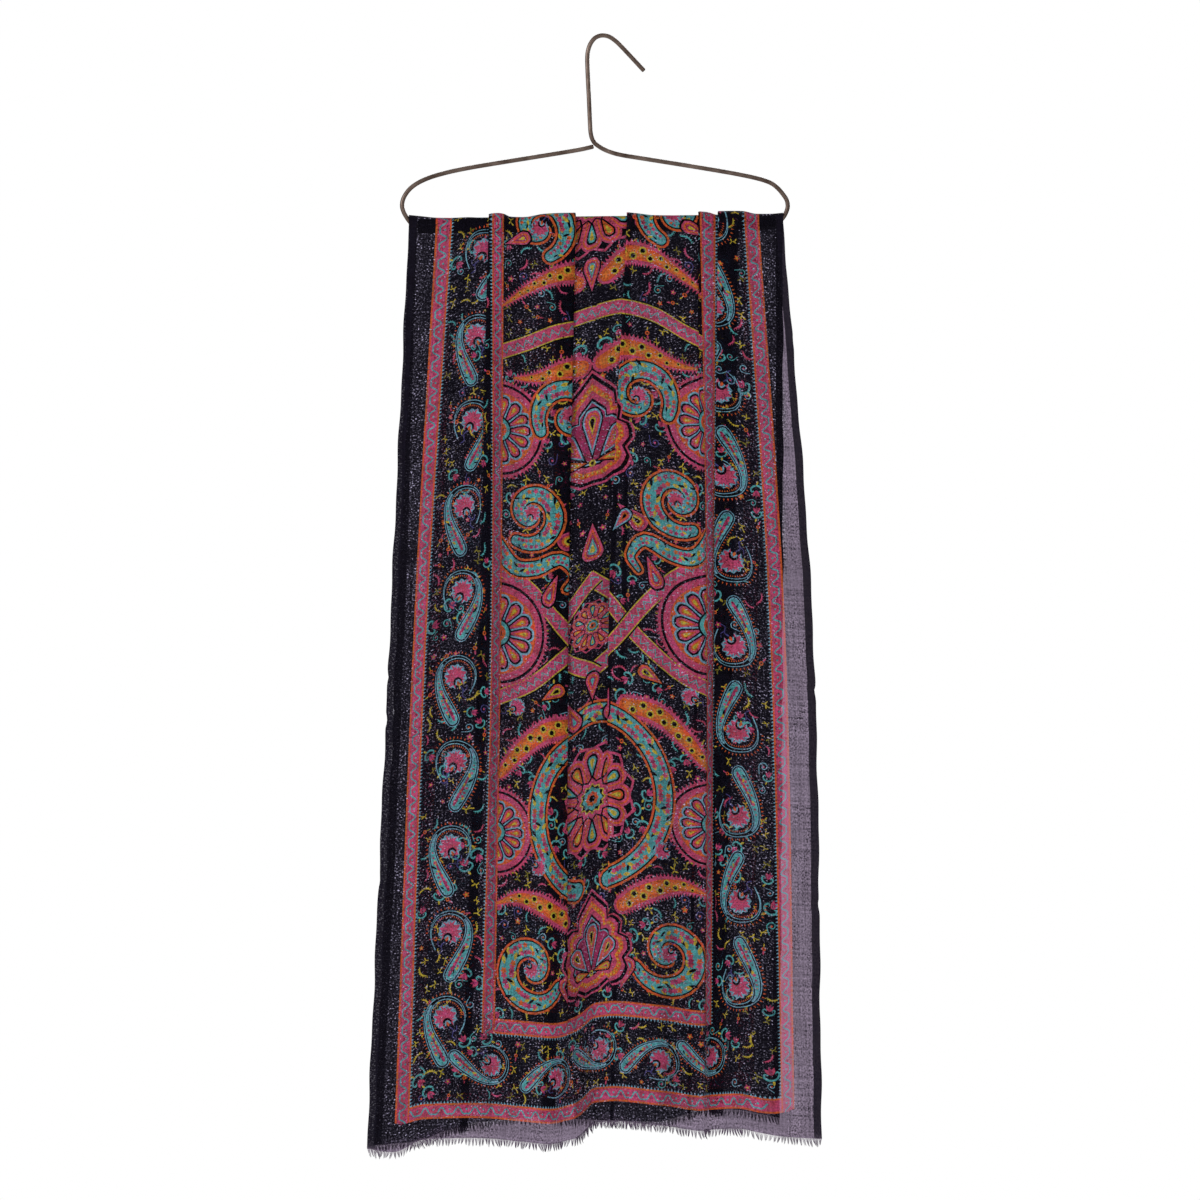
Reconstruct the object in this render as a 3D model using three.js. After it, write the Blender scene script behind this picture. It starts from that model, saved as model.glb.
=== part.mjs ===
// A sheer printed scarf folded double over the bar of a wire hanger.
// Millimetres, +Z up, front towards -Y, +X to the right as seen from the front.
// The origin is where the hook rests on a rail: the inside of its crown.

import * as THREE from 'three';
import { mergeVertices } from 'three/addons/utils/BufferGeometryUtils.js';

// The cloth as it was cut, and how it hangs
const WALL = 1.0;
const LAYER_PITCH = 1.9;
const OPEN_PLEAT_SPREAD = 5;
const SEAM_GAP = 0.3;
const MID_SHARE = 0.413;
const BACK_MID_EDGES = [-205, 181];
const BACK_HEM_EDGES = [-229, 178];

// The hanger
const WIRE_DIAMETER = 4.4;
const WIRE_SIDES = 8;
const WIRE_STEPS = 34;
const BAR_DIAMETER = 14.5;
const BAR_SIDES = 20;
const BAR_LEFT = new THREE.Vector3(-183.5, 0, -188.7);
const BAR_RIGHT = new THREE.Vector3(173, 0, -184.7);
const BORE_DIAMETER = 5.4;
const BORE_DEPTH = 9;
const WIRE_END_GAP = 0.5;

// The fringe
const STRAND_PITCH = 4.7;
const STRAND_ROOT_SHARE = 0.62;
const STRAND_LENGTH = 8;
const STRAND_LENGTH_SPREAD = 0.7;
const STRAND_LEAN = 0.8;
const STRAND_LEAN_WAVE = 0.9;
const SHORT_WAVE = 1.7;
const LONG_WAVE = 0.53;
const ROOT_STRIP_HEIGHT = 1.6;

// Sampling of the walls
const BAR_STEPS = 3;
const HANG_STEPS = 14;
const SOFT_STEP = 14;
const LEAST_MITRE = 0.6;

// Each row is one line down the cloth. u is its place across the flat cloth, from the left selvedge.
// bar, mid and hem give [x, depth] of the front drop where the line leaves the bar, at MID_SHARE of the
// drop and at the hem. Depth is the distance from the plane through the bar. back gives the depths of
// the same line in the back drop, at mid height and at the hem.
// A row with a lap is a knife pleat: the panel named by over lies on the other one by lap, its visible
// edge at x and its lower panel at depth, each given at the bar, mid height and hem. A lap of 0 is a
// pleat that has opened out. Its u is the place of the hidden middle of the pleat.
const FOLDS = [
  { name: 'left selvedge', u: 0, bar: [-193, 11.5], mid: [-211, 4.5], hem: [-235, 10], back: [8, 6] },
  { name: 'left margin', u: 14, bar: [-179.5, 10], mid: [-198.5, 8], hem: [-221.5, 14], back: [11, 9] },
  { name: 'outer strip starts', u: 27.5, bar: [-166, 8.5], mid: [-187, 12],
    hem: [-208, 15], back: [13, 14] },
  { name: 'outer strip ends', u: 42.5, bar: [-150, 8.15], mid: [-174, 13],
    hem: [-193.5, 12], back: [10, 17] },
  { name: 'column valley', u: 60, bar: [-134, 8.6], mid: [-158.5, 8.5], hem: [-177, 13], back: [7, 12] },
  { name: 'column rise', u: 74, bar: [-122, 8.15], mid: [-145.5, 9.5], hem: [-163.5, 16.5], back: [8, 8] },
  { name: 'left strip pleat', over: 'right', u: [97, 97, 97], x: [-113.5, -124.5, -141],
    depth: [8.15, 14, 17], lap: [13.5, 0, 0], backDepth: [8, 8], backLap: [12, 8] },
  { name: 'inner strip starts', u: 115, bar: [-109.5, 12.2], mid: [-110, 16],
    hem: [-123, 16], back: [14, 16] },
  { name: 'strip ridge', u: 122, bar: [-104.5, 12.6], mid: [-105.5, 12],
    hem: [-116, 14.5], back: [15, 18] },
  { name: 'inner strip ends', u: 130, bar: [-98, 11.6], mid: [-100.5, 7.5],
    hem: [-109, 13], back: [14, 17] },
  { name: 'foot of the ridge', u: 137, bar: [-92, 8.7], mid: [-94.5, 7],
    hem: [-102.5, 14], back: [10, 12] },
  { name: 'left panel crease', u: 152, bar: [-78, 8.15], mid: [-80.5, 4.5],
    hem: [-89.5, 18], back: [7, 6] },
  { name: 'left panel rise', u: 172, bar: [-57.5, 11.2], mid: [-62, 9.5],
    hem: [-72.5, 26], back: [12, 10] },
  { name: 'left panel ridge', u: 190, bar: [-39.5, 11.9], mid: [-46.5, 12.5],
    hem: [-57.5, 33], back: [14, 17] },
  { name: 'left centre pleat', over: 'left', u: [224, 219, 222], x: [-26, -33, -34],
    depth: [8.15, 6.5, 24], lap: [19, 15, 0], backDepth: [7, 9], backLap: [18, 13] },
  { name: 'centre panel', u: 252, bar: [-18, 8.15], mid: [-17.5, 9], hem: [-14.5, 7], back: [7, 6] },
  { name: 'centre valley', u: 268, bar: [-2.5, 8.15], mid: [-1, 7.5], hem: [-8, 3], back: [8, 10] },
  { name: 'right centre pleat', over: 'right', u: [300.5, 282, 286], x: [24.5, 7, 8.5],
    depth: [8.15, 5, 15], lap: [5.5, 5, 0], backDepth: [7, 10], backLap: [5, 4] },
  { name: 'right panel rise', u: 320, bar: [36.5, 10.5], mid: [36.5, 11.5],
    hem: [38.5, 28], back: [12, 18] },
  { name: 'right panel ridge', u: 335, bar: [52, 8.6], mid: [51.5, 13], hem: [53, 31], back: [9, 20] },
  { name: 'right panel fall', u: 358, bar: [75.5, 8.15], mid: [74, 11.5], hem: [75, 18], back: [7, 12] },
  { name: 'right strip pleat', over: 'right', u: [382, 380, 381], x: [96, 97, 97],
    depth: [8.15, 13, 11], lap: [4.25, 0, 0], backDepth: [6.5, 6], backLap: [4, 3] },
  { name: 'right inner strip', u: 397, bar: [104.5, 11.2], mid: [107.5, 8.5],
    hem: [105, 5], back: [10, 10] },
  { name: 'right column pleat', over: 'right', u: [430, 414.5, 412], x: [115.5, 112, 115.5],
    depth: [8.15, 3.6, 4.5], lap: [21, 7, 0], backDepth: [6.5, 6], backLap: [19, 15] },
  { name: 'right column', u: [464, 450, 450], bar: [127, 12], mid: [139.5, 9.5],
    hem: [145, 15], back: [12, 16] },
  { name: 'right outer strip', u: 475, bar: [139.5, 11.8], mid: [163.6, 12.5],
    hem: [177.5, 14], back: [12, 19] },
  { name: 'right strip ends', u: 490, bar: [154.5, 8.8], mid: [179, 13], hem: [190.5, 10], back: [9, 12] },
  { name: 'right margin', u: 505, bar: [168, 8.6], mid: [194.5, 10], hem: [205, 6.5], back: [8, 7] },
  { name: 'right selvedge', u: 520, bar: [181, 9.5], mid: [209.5, 5], hem: [220, 5], back: [6, 5] },
];

// How far each hem hangs below the bar's axis, against the place across the flat cloth
const FRONT_HEM = [
  { u: 0, drop: 921 }, { u: 27, drop: 924.5 }, { u: 60, drop: 912 }, { u: 100, drop: 911 },
  { u: 165, drop: 915 }, { u: 200, drop: 917 }, { u: 235, drop: 911 }, { u: 264, drop: 899 },
  { u: 290, drop: 896 }, { u: 340, drop: 900 }, { u: 385, drop: 907 }, { u: 440, drop: 905 },
  { u: 475, drop: 913 }, { u: 520, drop: 917 },
];
const BACK_HEM = [
  { u: 0, drop: 919 }, { u: 40, drop: 916 }, { u: 70, drop: 905 }, { u: 115, drop: 899 },
  { u: 205, drop: 892 }, { u: 260, drop: 895 }, { u: 350, drop: 899 }, { u: 385, drop: 889 },
  { u: 430, drop: 886 }, { u: 475, drop: 888 }, { u: 520, drop: 896 },
];

// Centre lines of the bent wire, in the plane of the hanger as [x, z]
const HOOK_LINE = [
  [41.7, -32.8], [23, -12.7], [14.1, -3.8], [7.1, 0.9], [0, 2.2], [-6.3, 0.1], [-10.7, -4.7],
  [-13.6, -11.7], [-14.7, -20.7], [-14.2, -38], [-13, -62], [-12.1, -83], [-11.4, -94.3],
  [-9.9, -101], [-7.3, -105.4], [-4.2, -108], [0.5, -111], [6, -113.6],
];
const RIGHT_ARM_LINE = [
  [6.3, -113.72], [14.1, -116.2], [24.3, -118.3], [37.6, -120.4], [100, -130.4], [140.8, -137.6],
  [163.7, -143.3], [174.5, -149.4], [183.5, -160.2], [185.7, -167.2], [184.8, -173], [182.2, -178.4],
  [179, -182.4], [176, -184.3],
];
const LEFT_ARM_LINE = [
  [-9.1, -109.05], [-21.6, -111.9], [-42, -115.4], [-73, -120.4], [-132, -130.1], [-161, -136.5],
  [-178.5, -142.5], [-190.5, -149.8], [-197.5, -158.6], [-199.9, -166.6], [-198.9, -173],
  [-196, -178.8], [-192.4, -184], [-189, -187.4], [-186.2, -188.5],
];

const BRONZE = { color: 0x4a3a33, roughness: 0.38, metalness: 0.85 };
const BLACK_BAR = { color: 0x14141a, roughness: 0.6, metalness: 0.2 };
const GAUZE = { color: 0x2a2233, roughness: 0.9, metalness: 0 };
const FRINGE = { color: 0x6a5f70, roughness: 0.95, metalness: 0 };

const scarf = new THREE.Group();

function addPiece(name, geometry, look) {
  const mesh = new THREE.Mesh(geometry, new THREE.MeshStandardMaterial(look));
  mesh.name = name;
  scarf.add(mesh);
  return mesh;
}

// Height of the bar's axis above or below the origin at a given x
function barHeight(x) {
  const share = (x - BAR_LEFT.x) / (BAR_RIGHT.x - BAR_LEFT.x);
  return THREE.MathUtils.lerp(BAR_LEFT.z, BAR_RIGHT.z, share);
}

// Slopes for a smooth curve through points that never overshoots them
function gentleSlopes(at, value) {
  const count = at.length;
  const steps = [];
  for (let i = 0; i < count - 1; i++) steps.push((value[i + 1] - value[i]) / (at[i + 1] - at[i]));
  const slopes = [steps[0]];
  for (let i = 1; i < count - 1; i++) {
    const before = steps[i - 1];
    const after = steps[i];
    slopes.push(before * after <= 0 ? 0 : (2 * before * after) / (before + after));
  }
  slopes.push(steps[count - 2]);
  return slopes;
}

function hermite(a, b, slopeA, slopeB, width, t) {
  const t2 = t * t;
  const t3 = t2 * t;
  return (2 * t3 - 3 * t2 + 1) * a + (t3 - 2 * t2 + t) * width * slopeA
    + (3 * t2 - 2 * t3) * b + (t3 - t2) * width * slopeB;
}

function hemDrop(table, u) {
  const at = table.map((row) => row.u);
  const value = table.map((row) => row.drop);
  const slopes = gentleSlopes(at, value);
  let i = 0;
  while (i < at.length - 2 && u > at[i + 1]) i++;
  const width = at[i + 1] - at[i];
  return hermite(value[i], value[i + 1], slopes[i], slopes[i + 1], width, (u - at[i]) / width);
}

// Place of a line of the back drop: the bar's places spread between the back drop's own edges
function backPlace(barX, edges) {
  const leftmost = FOLDS[0].bar[0];
  const rightmost = FOLDS[FOLDS.length - 1].bar[0];
  return THREE.MathUtils.mapLinear(barX, leftmost, rightmost, edges[0], edges[1]);
}

// A fold's place at its three levels in one of the drops, as u, x, depth and, for a pleat, lap
function foldLevels(fold, side) {
  return [0, 1, 2].map((level) => {
    const onBack = side === 'back' && level > 0;
    const edges = level === 1 ? BACK_MID_EDGES : BACK_HEM_EDGES;
    const u = Array.isArray(fold.u) ? fold.u[onBack ? 0 : level] : fold.u;
    if (fold.over) {
      const lap = onBack ? fold.backLap[level - 1] : fold.lap[level];
      return {
        u,
        x: onBack ? backPlace(fold.x[0], edges) : fold.x[level],
        depth: onBack ? fold.backDepth[level - 1] : fold.depth[level],
        lap: lap === 0 ? -OPEN_PLEAT_SPREAD : lap,
      };
    }
    if (onBack) return { u, x: backPlace(fold.bar[0], edges), depth: fold.back[level - 1] };
    const [x, depth] = [fold.bar, fold.mid, fold.hem][level];
    return { u, x, depth };
  });
}

// The five corners of a pleat, from the panel that passes under it to the panel that lies on it.
// A negative lap spreads the corners out into the open cloth.
function pleatCorners(over, { u, x, depth, lap }) {
  const s = OPEN_PLEAT_SPREAD;
  const hidden = Math.max(lap, 0);
  const open = Math.max(-lap, 0) / s;
  const corners = [
    { across: -hidden - 3, along: -1, rise: 0, spread: -1.6 * s },
    { across: -2, along: hidden, rise: 0, spread: -s },
    { across: -0.7, along: hidden, rise: 0.75, spread: -s / 3 },
    { across: hidden + 0.7, along: 0, rise: 1.25, spread: s / 3 },
    { across: hidden + 2, along: 0, rise: 2, spread: s },
  ].map((corner) => ({
    across: THREE.MathUtils.lerp(corner.across, corner.spread, open),
    along: THREE.MathUtils.lerp(corner.along, corner.spread, open),
    depth: depth + corner.rise * LAYER_PITCH * (1 - open),
  }));
  const turned = over === 'right' ? corners : corners.reverse();
  const way = over === 'right' ? 1 : -1;
  return turned.map((corner) => ({
    u: u + way * corner.across,
    x: x + way * corner.along,
    depth: corner.depth,
    sharp: true,
  }));
}

// Blends three levels down the drop; share is 0 at the bar and 1 at the hem
function blendLevels(bar, mid, hem, share) {
  const upper = (mid - bar) / MID_SHARE;
  const lower = (hem - mid) / (1 - MID_SHARE);
  const middle = THREE.MathUtils.lerp(upper, lower, MID_SHARE);
  if (share <= MID_SHARE) return hermite(bar, mid, upper, middle, MID_SHARE, share / MID_SHARE);
  const rest = 1 - MID_SHARE;
  return hermite(mid, hem, middle, lower, rest, (share - MID_SHARE) / rest);
}

// Control points of one section, left to right
function sectionPoints(side, share) {
  return FOLDS.flatMap((fold) => {
    const [bar, mid, hem] = foldLevels(fold, side);
    const point = { sharp: false };
    for (const key of Object.keys(bar)) point[key] = blendLevels(bar[key], mid[key], hem[key], share);
    return fold.over ? pleatCorners(fold.over, point) : [point];
  });
}

// One section's columns: straight between a pleat's corners, a smooth curve elsewhere
function columnsOf(points, steps) {
  const columns = [];
  let start = 0;
  while (start < points.length - 1) {
    let end = start + 1;
    while (end < points.length - 1 && !points[end].sharp) end++;
    const run = points.slice(start, end + 1);
    const at = run.map((point) => point.u);
    const slopesX = gentleSlopes(at, run.map((point) => point.x));
    const slopesDepth = gentleSlopes(at, run.map((point) => point.depth));
    for (let i = 0; i < run.length - 1; i++) {
      const width = at[i + 1] - at[i];
      const count = steps[start + i];
      for (let k = 0; k < count; k++) {
        const t = k / count;
        columns.push({
          u: at[i] + width * t,
          x: hermite(run[i].x, run[i + 1].x, slopesX[i], slopesX[i + 1], width, t),
          depth: hermite(run[i].depth, run[i + 1].depth, slopesDepth[i], slopesDepth[i + 1], width, t),
        });
      }
    }
    start = end;
  }
  const last = points[points.length - 1];
  columns.push({ u: last.u, x: last.x, depth: last.depth });
  return columns;
}

// Moves a section's line sideways by half the wall, with mitred corners
function offsetLine(line, distance) {
  return line.map((point, i) => {
    const before = line[Math.max(i - 1, 0)];
    const after = line[Math.min(i + 1, line.length - 1)];
    const inward = new THREE.Vector2(point.x - before.x, point.depth - before.depth).normalize();
    const outward = new THREE.Vector2(after.x - point.x, after.depth - point.depth).normalize();
    const along = inward.clone().add(outward).normalize();
    const normal = new THREE.Vector2(-along.y, along.x);
    const edge = inward.lengthSq() > 0 ? inward : outward;
    const stretch = Math.max(new THREE.Vector2(-edge.y, edge.x).dot(normal), LEAST_MITRE);
    const aside = normal.multiplyScalar(distance / stretch);
    return { x: point.x + aside.x, depth: point.depth + aside.y };
  });
}

// One drop's sections from the top of the bar to the hem
function dropSections(side) {
  const hemTable = side === 'front' ? FRONT_HEM : BACK_HEM;
  const middle = sectionPoints(side, MID_SHARE);
  const steps = middle.slice(1).map((point, i) => (
    point.sharp && middle[i].sharp ? 1 : Math.ceil((point.u - middle[i].u) / SOFT_STEP)
  ));
  const sections = [];
  for (let step = 0; step < BAR_STEPS; step++) {
    const turn = (Math.PI / 2) * (1 - step / BAR_STEPS);
    const columns = columnsOf(sectionPoints(side, 0), steps);
    sections.push(columns.map((column) => ({ ...column, turn, below: 0 })));
  }
  for (let step = 0; step <= HANG_STEPS; step++) {
    const share = step / HANG_STEPS;
    const columns = columnsOf(sectionPoints(side, share), steps);
    sections.push(columns.map((column) => (
      { ...column, turn: 0, below: share * hemDrop(hemTable, column.u) }
    )));
  }
  return sections;
}

// A place in the section becomes a place in space: round the bar by turn, then straight down
function placeInSpace(x, depth, turn, below, side) {
  const facing = side === 'front' ? -1 : 1;
  const reach = depth * Math.cos(turn) + SEAM_GAP / 2;
  return new THREE.Vector3(x, facing * reach, barHeight(x) + depth * Math.sin(turn) - below);
}

function skinOf(sections, distance, side) {
  return sections.map((section) => offsetLine(section, distance).map((point, j) => (
    placeInSpace(point.x, point.depth, section[j].turn, section[j].below, side)
  )));
}

function solidFrom(points, faces, mirrored) {
  const geometry = new THREE.BufferGeometry();
  const positions = points.flatMap((point) => [point.x, point.y, point.z]);
  geometry.setAttribute('position', new THREE.Float32BufferAttribute(positions, 3));
  geometry.setIndex(faces.flatMap(([a, b, c]) => (mirrored ? [a, c, b] : [a, b, c])));
  geometry.computeVertexNormals();
  return geometry;
}

// A closed wall between an outer and an inner skin of the same rows and columns
function wallSolid(outer, inner, mirrored) {
  const rows = outer.length;
  const columns = outer[0].length;
  const points = [...outer.flat(), ...inner.flat()];
  const out = (i, j) => i * columns + j;
  const inn = (i, j) => rows * columns + i * columns + j;
  const faces = [];
  const addQuad = (a, b, c, d) => faces.push([a, b, c], [a, c, d]);
  for (let i = 0; i < rows - 1; i++) {
    for (let j = 0; j < columns - 1; j++) {
      addQuad(out(i + 1, j), out(i + 1, j + 1), out(i, j + 1), out(i, j));
      addQuad(inn(i + 1, j), inn(i, j), inn(i, j + 1), inn(i + 1, j + 1));
    }
    const end = columns - 1;
    addQuad(out(i + 1, 0), out(i, 0), inn(i, 0), inn(i + 1, 0));
    addQuad(out(i, end), out(i + 1, end), inn(i + 1, end), inn(i, end));
  }
  for (let j = 0; j < columns - 1; j++) {
    const last = rows - 1;
    addQuad(out(0, j), out(0, j + 1), inn(0, j + 1), inn(0, j));
    addQuad(out(last, j + 1), out(last, j), inn(last, j), inn(last, j + 1));
  }
  return solidFrom(points, faces, mirrored);
}

// Matching places on a hem's outer and inner edge: every corner of the wall, and between the corners
// both edges of each strand's root. A strand starts where startsStrand is true.
function rootPlaces(outerHem, innerHem) {
  const places = [];
  const rootEdges = [0.5 - STRAND_ROOT_SHARE / 2, 0.5 + STRAND_ROOT_SHARE / 2];
  for (let i = 0; i < outerHem.length - 1; i++) {
    const addPlace = (share, startsStrand) => {
      const [outer, inner] = [outerHem, innerHem].map((hem) => hem[i].clone().lerp(hem[i + 1], share));
      places.push({ outer, inner, startsStrand });
    };
    const width = (outerHem[i].distanceTo(outerHem[i + 1]) + innerHem[i].distanceTo(innerHem[i + 1])) / 2;
    const strands = Math.round(width / STRAND_PITCH);
    addPlace(0, false);
    for (let k = 0; k < strands; k++) {
      addPlace((k + rootEdges[0]) / strands, true);
      addPlace((k + rootEdges[1]) / strands, false);
    }
  }
  places.push({ outer: outerHem[outerHem.length - 1], inner: innerHem[innerHem.length - 1] });
  return places;
}

// Short warp ends left unwoven: a narrow strip just under the hem, with tapering strands below it
function fringeSolid(outerHem, innerHem, mirrored) {
  const points = [];
  const faces = [];
  const addQuad = (a, b, c, d) => faces.push([a, b, c], [a, c, d]);
  const down = (point, distance) => point.clone().setZ(point.z - distance);
  const columns = rootPlaces(outerHem, innerHem).map(({ outer, inner, startsStrand }) => {
    const first = points.length;
    points.push(down(outer, SEAM_GAP), down(outer, SEAM_GAP + ROOT_STRIP_HEIGHT));
    points.push(down(inner, SEAM_GAP), down(inner, SEAM_GAP + ROOT_STRIP_HEIGHT));
    return { startsStrand, outTop: first, outLow: first + 1, inTop: first + 2, inLow: first + 3 };
  });
  for (let j = 0; j < columns.length - 1; j++) {
    const a = columns[j];
    const b = columns[j + 1];
    addQuad(a.outTop, a.outLow, b.outLow, b.outTop);
    addQuad(a.inTop, b.inTop, b.inLow, a.inLow);
    addQuad(a.outTop, b.outTop, b.inTop, a.inTop);
    if (a.startsStrand) {
      const wave = Math.sin(j * SHORT_WAVE) + Math.sin(j * LONG_WAVE);
      const middle = points[a.outLow].clone().add(points[b.inLow]).multiplyScalar(0.5);
      const tip = down(middle, STRAND_LENGTH - ROOT_STRIP_HEIGHT + wave * STRAND_LENGTH_SPREAD);
      tip.x += STRAND_LEAN * Math.sin(j * STRAND_LEAN_WAVE);
      const tipIndex = points.push(tip) - 1;
      faces.push([b.outLow, a.outLow, tipIndex], [a.inLow, b.inLow, tipIndex]);
      faces.push([tipIndex, a.outLow, a.inLow], [tipIndex, b.inLow, b.outLow]);
    } else {
      addQuad(b.outLow, a.outLow, a.inLow, b.inLow);
    }
  }
  const left = columns[0];
  const right = columns[columns.length - 1];
  addQuad(left.outLow, left.outTop, left.inTop, left.inLow);
  addQuad(right.outTop, right.outLow, right.inLow, right.inTop);
  return solidFrom(points, faces, mirrored);
}

function addDrop(side) {
  const sections = dropSections(side);
  const outer = skinOf(sections, WALL / 2, side);
  const inner = skinOf(sections, -WALL / 2, side);
  const mirrored = side === 'back';
  const outerHem = outer[outer.length - 1];
  const innerHem = inner[inner.length - 1];
  addPiece(`${side}_drop`, wallSolid(outer, inner, mirrored), GAUZE);
  addPiece(`fringe_${side}`, fringeSolid(outerHem, innerHem, mirrored), FRINGE);
}

function wireSection() {
  const shape = new THREE.Shape();
  for (let i = 0; i < WIRE_SIDES; i++) {
    const angle = ((i + 0.5) / WIRE_SIDES) * 2 * Math.PI;
    const corner = [(WIRE_DIAMETER / 2) * Math.cos(angle), (WIRE_DIAMETER / 2) * Math.sin(angle)];
    if (i === 0) shape.moveTo(...corner);
    else shape.lineTo(...corner);
  }
  shape.closePath();
  return shape;
}

function closedSurface(geometry) {
  geometry.deleteAttribute('normal');
  geometry.deleteAttribute('uv');
  const merged = mergeVertices(geometry);
  merged.computeVertexNormals();
  return merged;
}

function addWire(name, line) {
  const places = line.map(([x, z]) => new THREE.Vector3(x, 0, z));
  const extrudePath = new THREE.CatmullRomCurve3(places, false, 'centripetal');
  const options = { steps: WIRE_STEPS, extrudePath, bevelEnabled: false };
  addPiece(name, closedSurface(new THREE.ExtrudeGeometry(wireSection(), options)), BRONZE);
}

// The last two points of an arm, where it enters the bar's bore and where it stops inside it
function boreLine(from, towards) {
  const direction = towards.clone().sub(from).normalize();
  const end = from.clone().addScaledVector(direction, BORE_DEPTH - WIRE_END_GAP);
  return [[from.x, from.z], [end.x, end.z]];
}

function addBar() {
  const length = BAR_LEFT.distanceTo(BAR_RIGHT);
  const outside = BAR_DIAMETER / 2;
  const bore = BORE_DIAMETER / 2;
  const profile = [
    [0, BORE_DEPTH], [bore, BORE_DEPTH], [bore, 0], [outside, 0],
    [outside, length], [bore, length], [bore, length - BORE_DEPTH], [0, length - BORE_DEPTH],
  ].map(([radius, along]) => new THREE.Vector2(radius, along));
  const mesh = addPiece('bar', closedSurface(new THREE.LatheGeometry(profile, BAR_SIDES)), BLACK_BAR);
  const direction = BAR_RIGHT.clone().sub(BAR_LEFT).normalize();
  mesh.quaternion.setFromUnitVectors(new THREE.Vector3(0, 1, 0), direction);
  mesh.position.copy(BAR_LEFT);
}

addDrop('front');
addDrop('back');
addWire('hook', HOOK_LINE);
addWire('shoulder_right', [...RIGHT_ARM_LINE, ...boreLine(BAR_RIGHT, BAR_LEFT)]);
addWire('shoulder_left', [...LEFT_ARM_LINE, ...boreLine(BAR_LEFT, BAR_RIGHT)]);
addBar();

export default scarf;
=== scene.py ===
"""A sheer printed scarf folded double over the bar of a bent wire hanger.

Lengths in the tables are millimetres, as in the part's own drawings, and MM turns them into metres.
u runs across the flat cloth from the left selvedge, h runs up from a hem.
"""
import math
import random
from collections import namedtuple

import bpy
import numpy as np
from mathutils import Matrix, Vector
from mathutils.geometry import delaunay_2d_cdt


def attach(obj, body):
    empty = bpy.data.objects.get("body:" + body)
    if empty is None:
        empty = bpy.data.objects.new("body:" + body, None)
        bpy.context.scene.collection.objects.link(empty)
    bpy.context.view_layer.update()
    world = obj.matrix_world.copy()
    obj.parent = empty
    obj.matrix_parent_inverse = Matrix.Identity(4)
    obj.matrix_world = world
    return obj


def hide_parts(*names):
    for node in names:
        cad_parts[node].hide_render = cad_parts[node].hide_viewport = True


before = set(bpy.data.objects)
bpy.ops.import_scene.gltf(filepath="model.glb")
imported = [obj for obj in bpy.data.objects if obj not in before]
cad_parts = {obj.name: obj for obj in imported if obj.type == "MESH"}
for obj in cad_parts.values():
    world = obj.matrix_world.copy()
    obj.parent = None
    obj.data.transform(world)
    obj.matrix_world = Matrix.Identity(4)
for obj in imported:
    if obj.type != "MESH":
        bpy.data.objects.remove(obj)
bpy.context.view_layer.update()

MM = 0.001

# The hanger
WIRE_DIAMETER = 4.4
BAR_DIAMETER = 14.5
BAR_LEFT = np.array([-183.5, 0, -188.7])
BAR_RIGHT = np.array([173, 0, -184.7])
BORE_DEPTH = 9
WIRE_END_GAP = 0.5

# The cloth as it was cut, and how it hangs
CLOTH_WIDTH = 520
LAYER_PITCH = 1.9
OPEN_PLEAT_SPREAD = 5
MID_SHARE = 0.413
BAR_REACH = 12
BACK_MID_EDGES = (-205, 181)
BACK_HEM_EDGES = (-229, 178)

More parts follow.
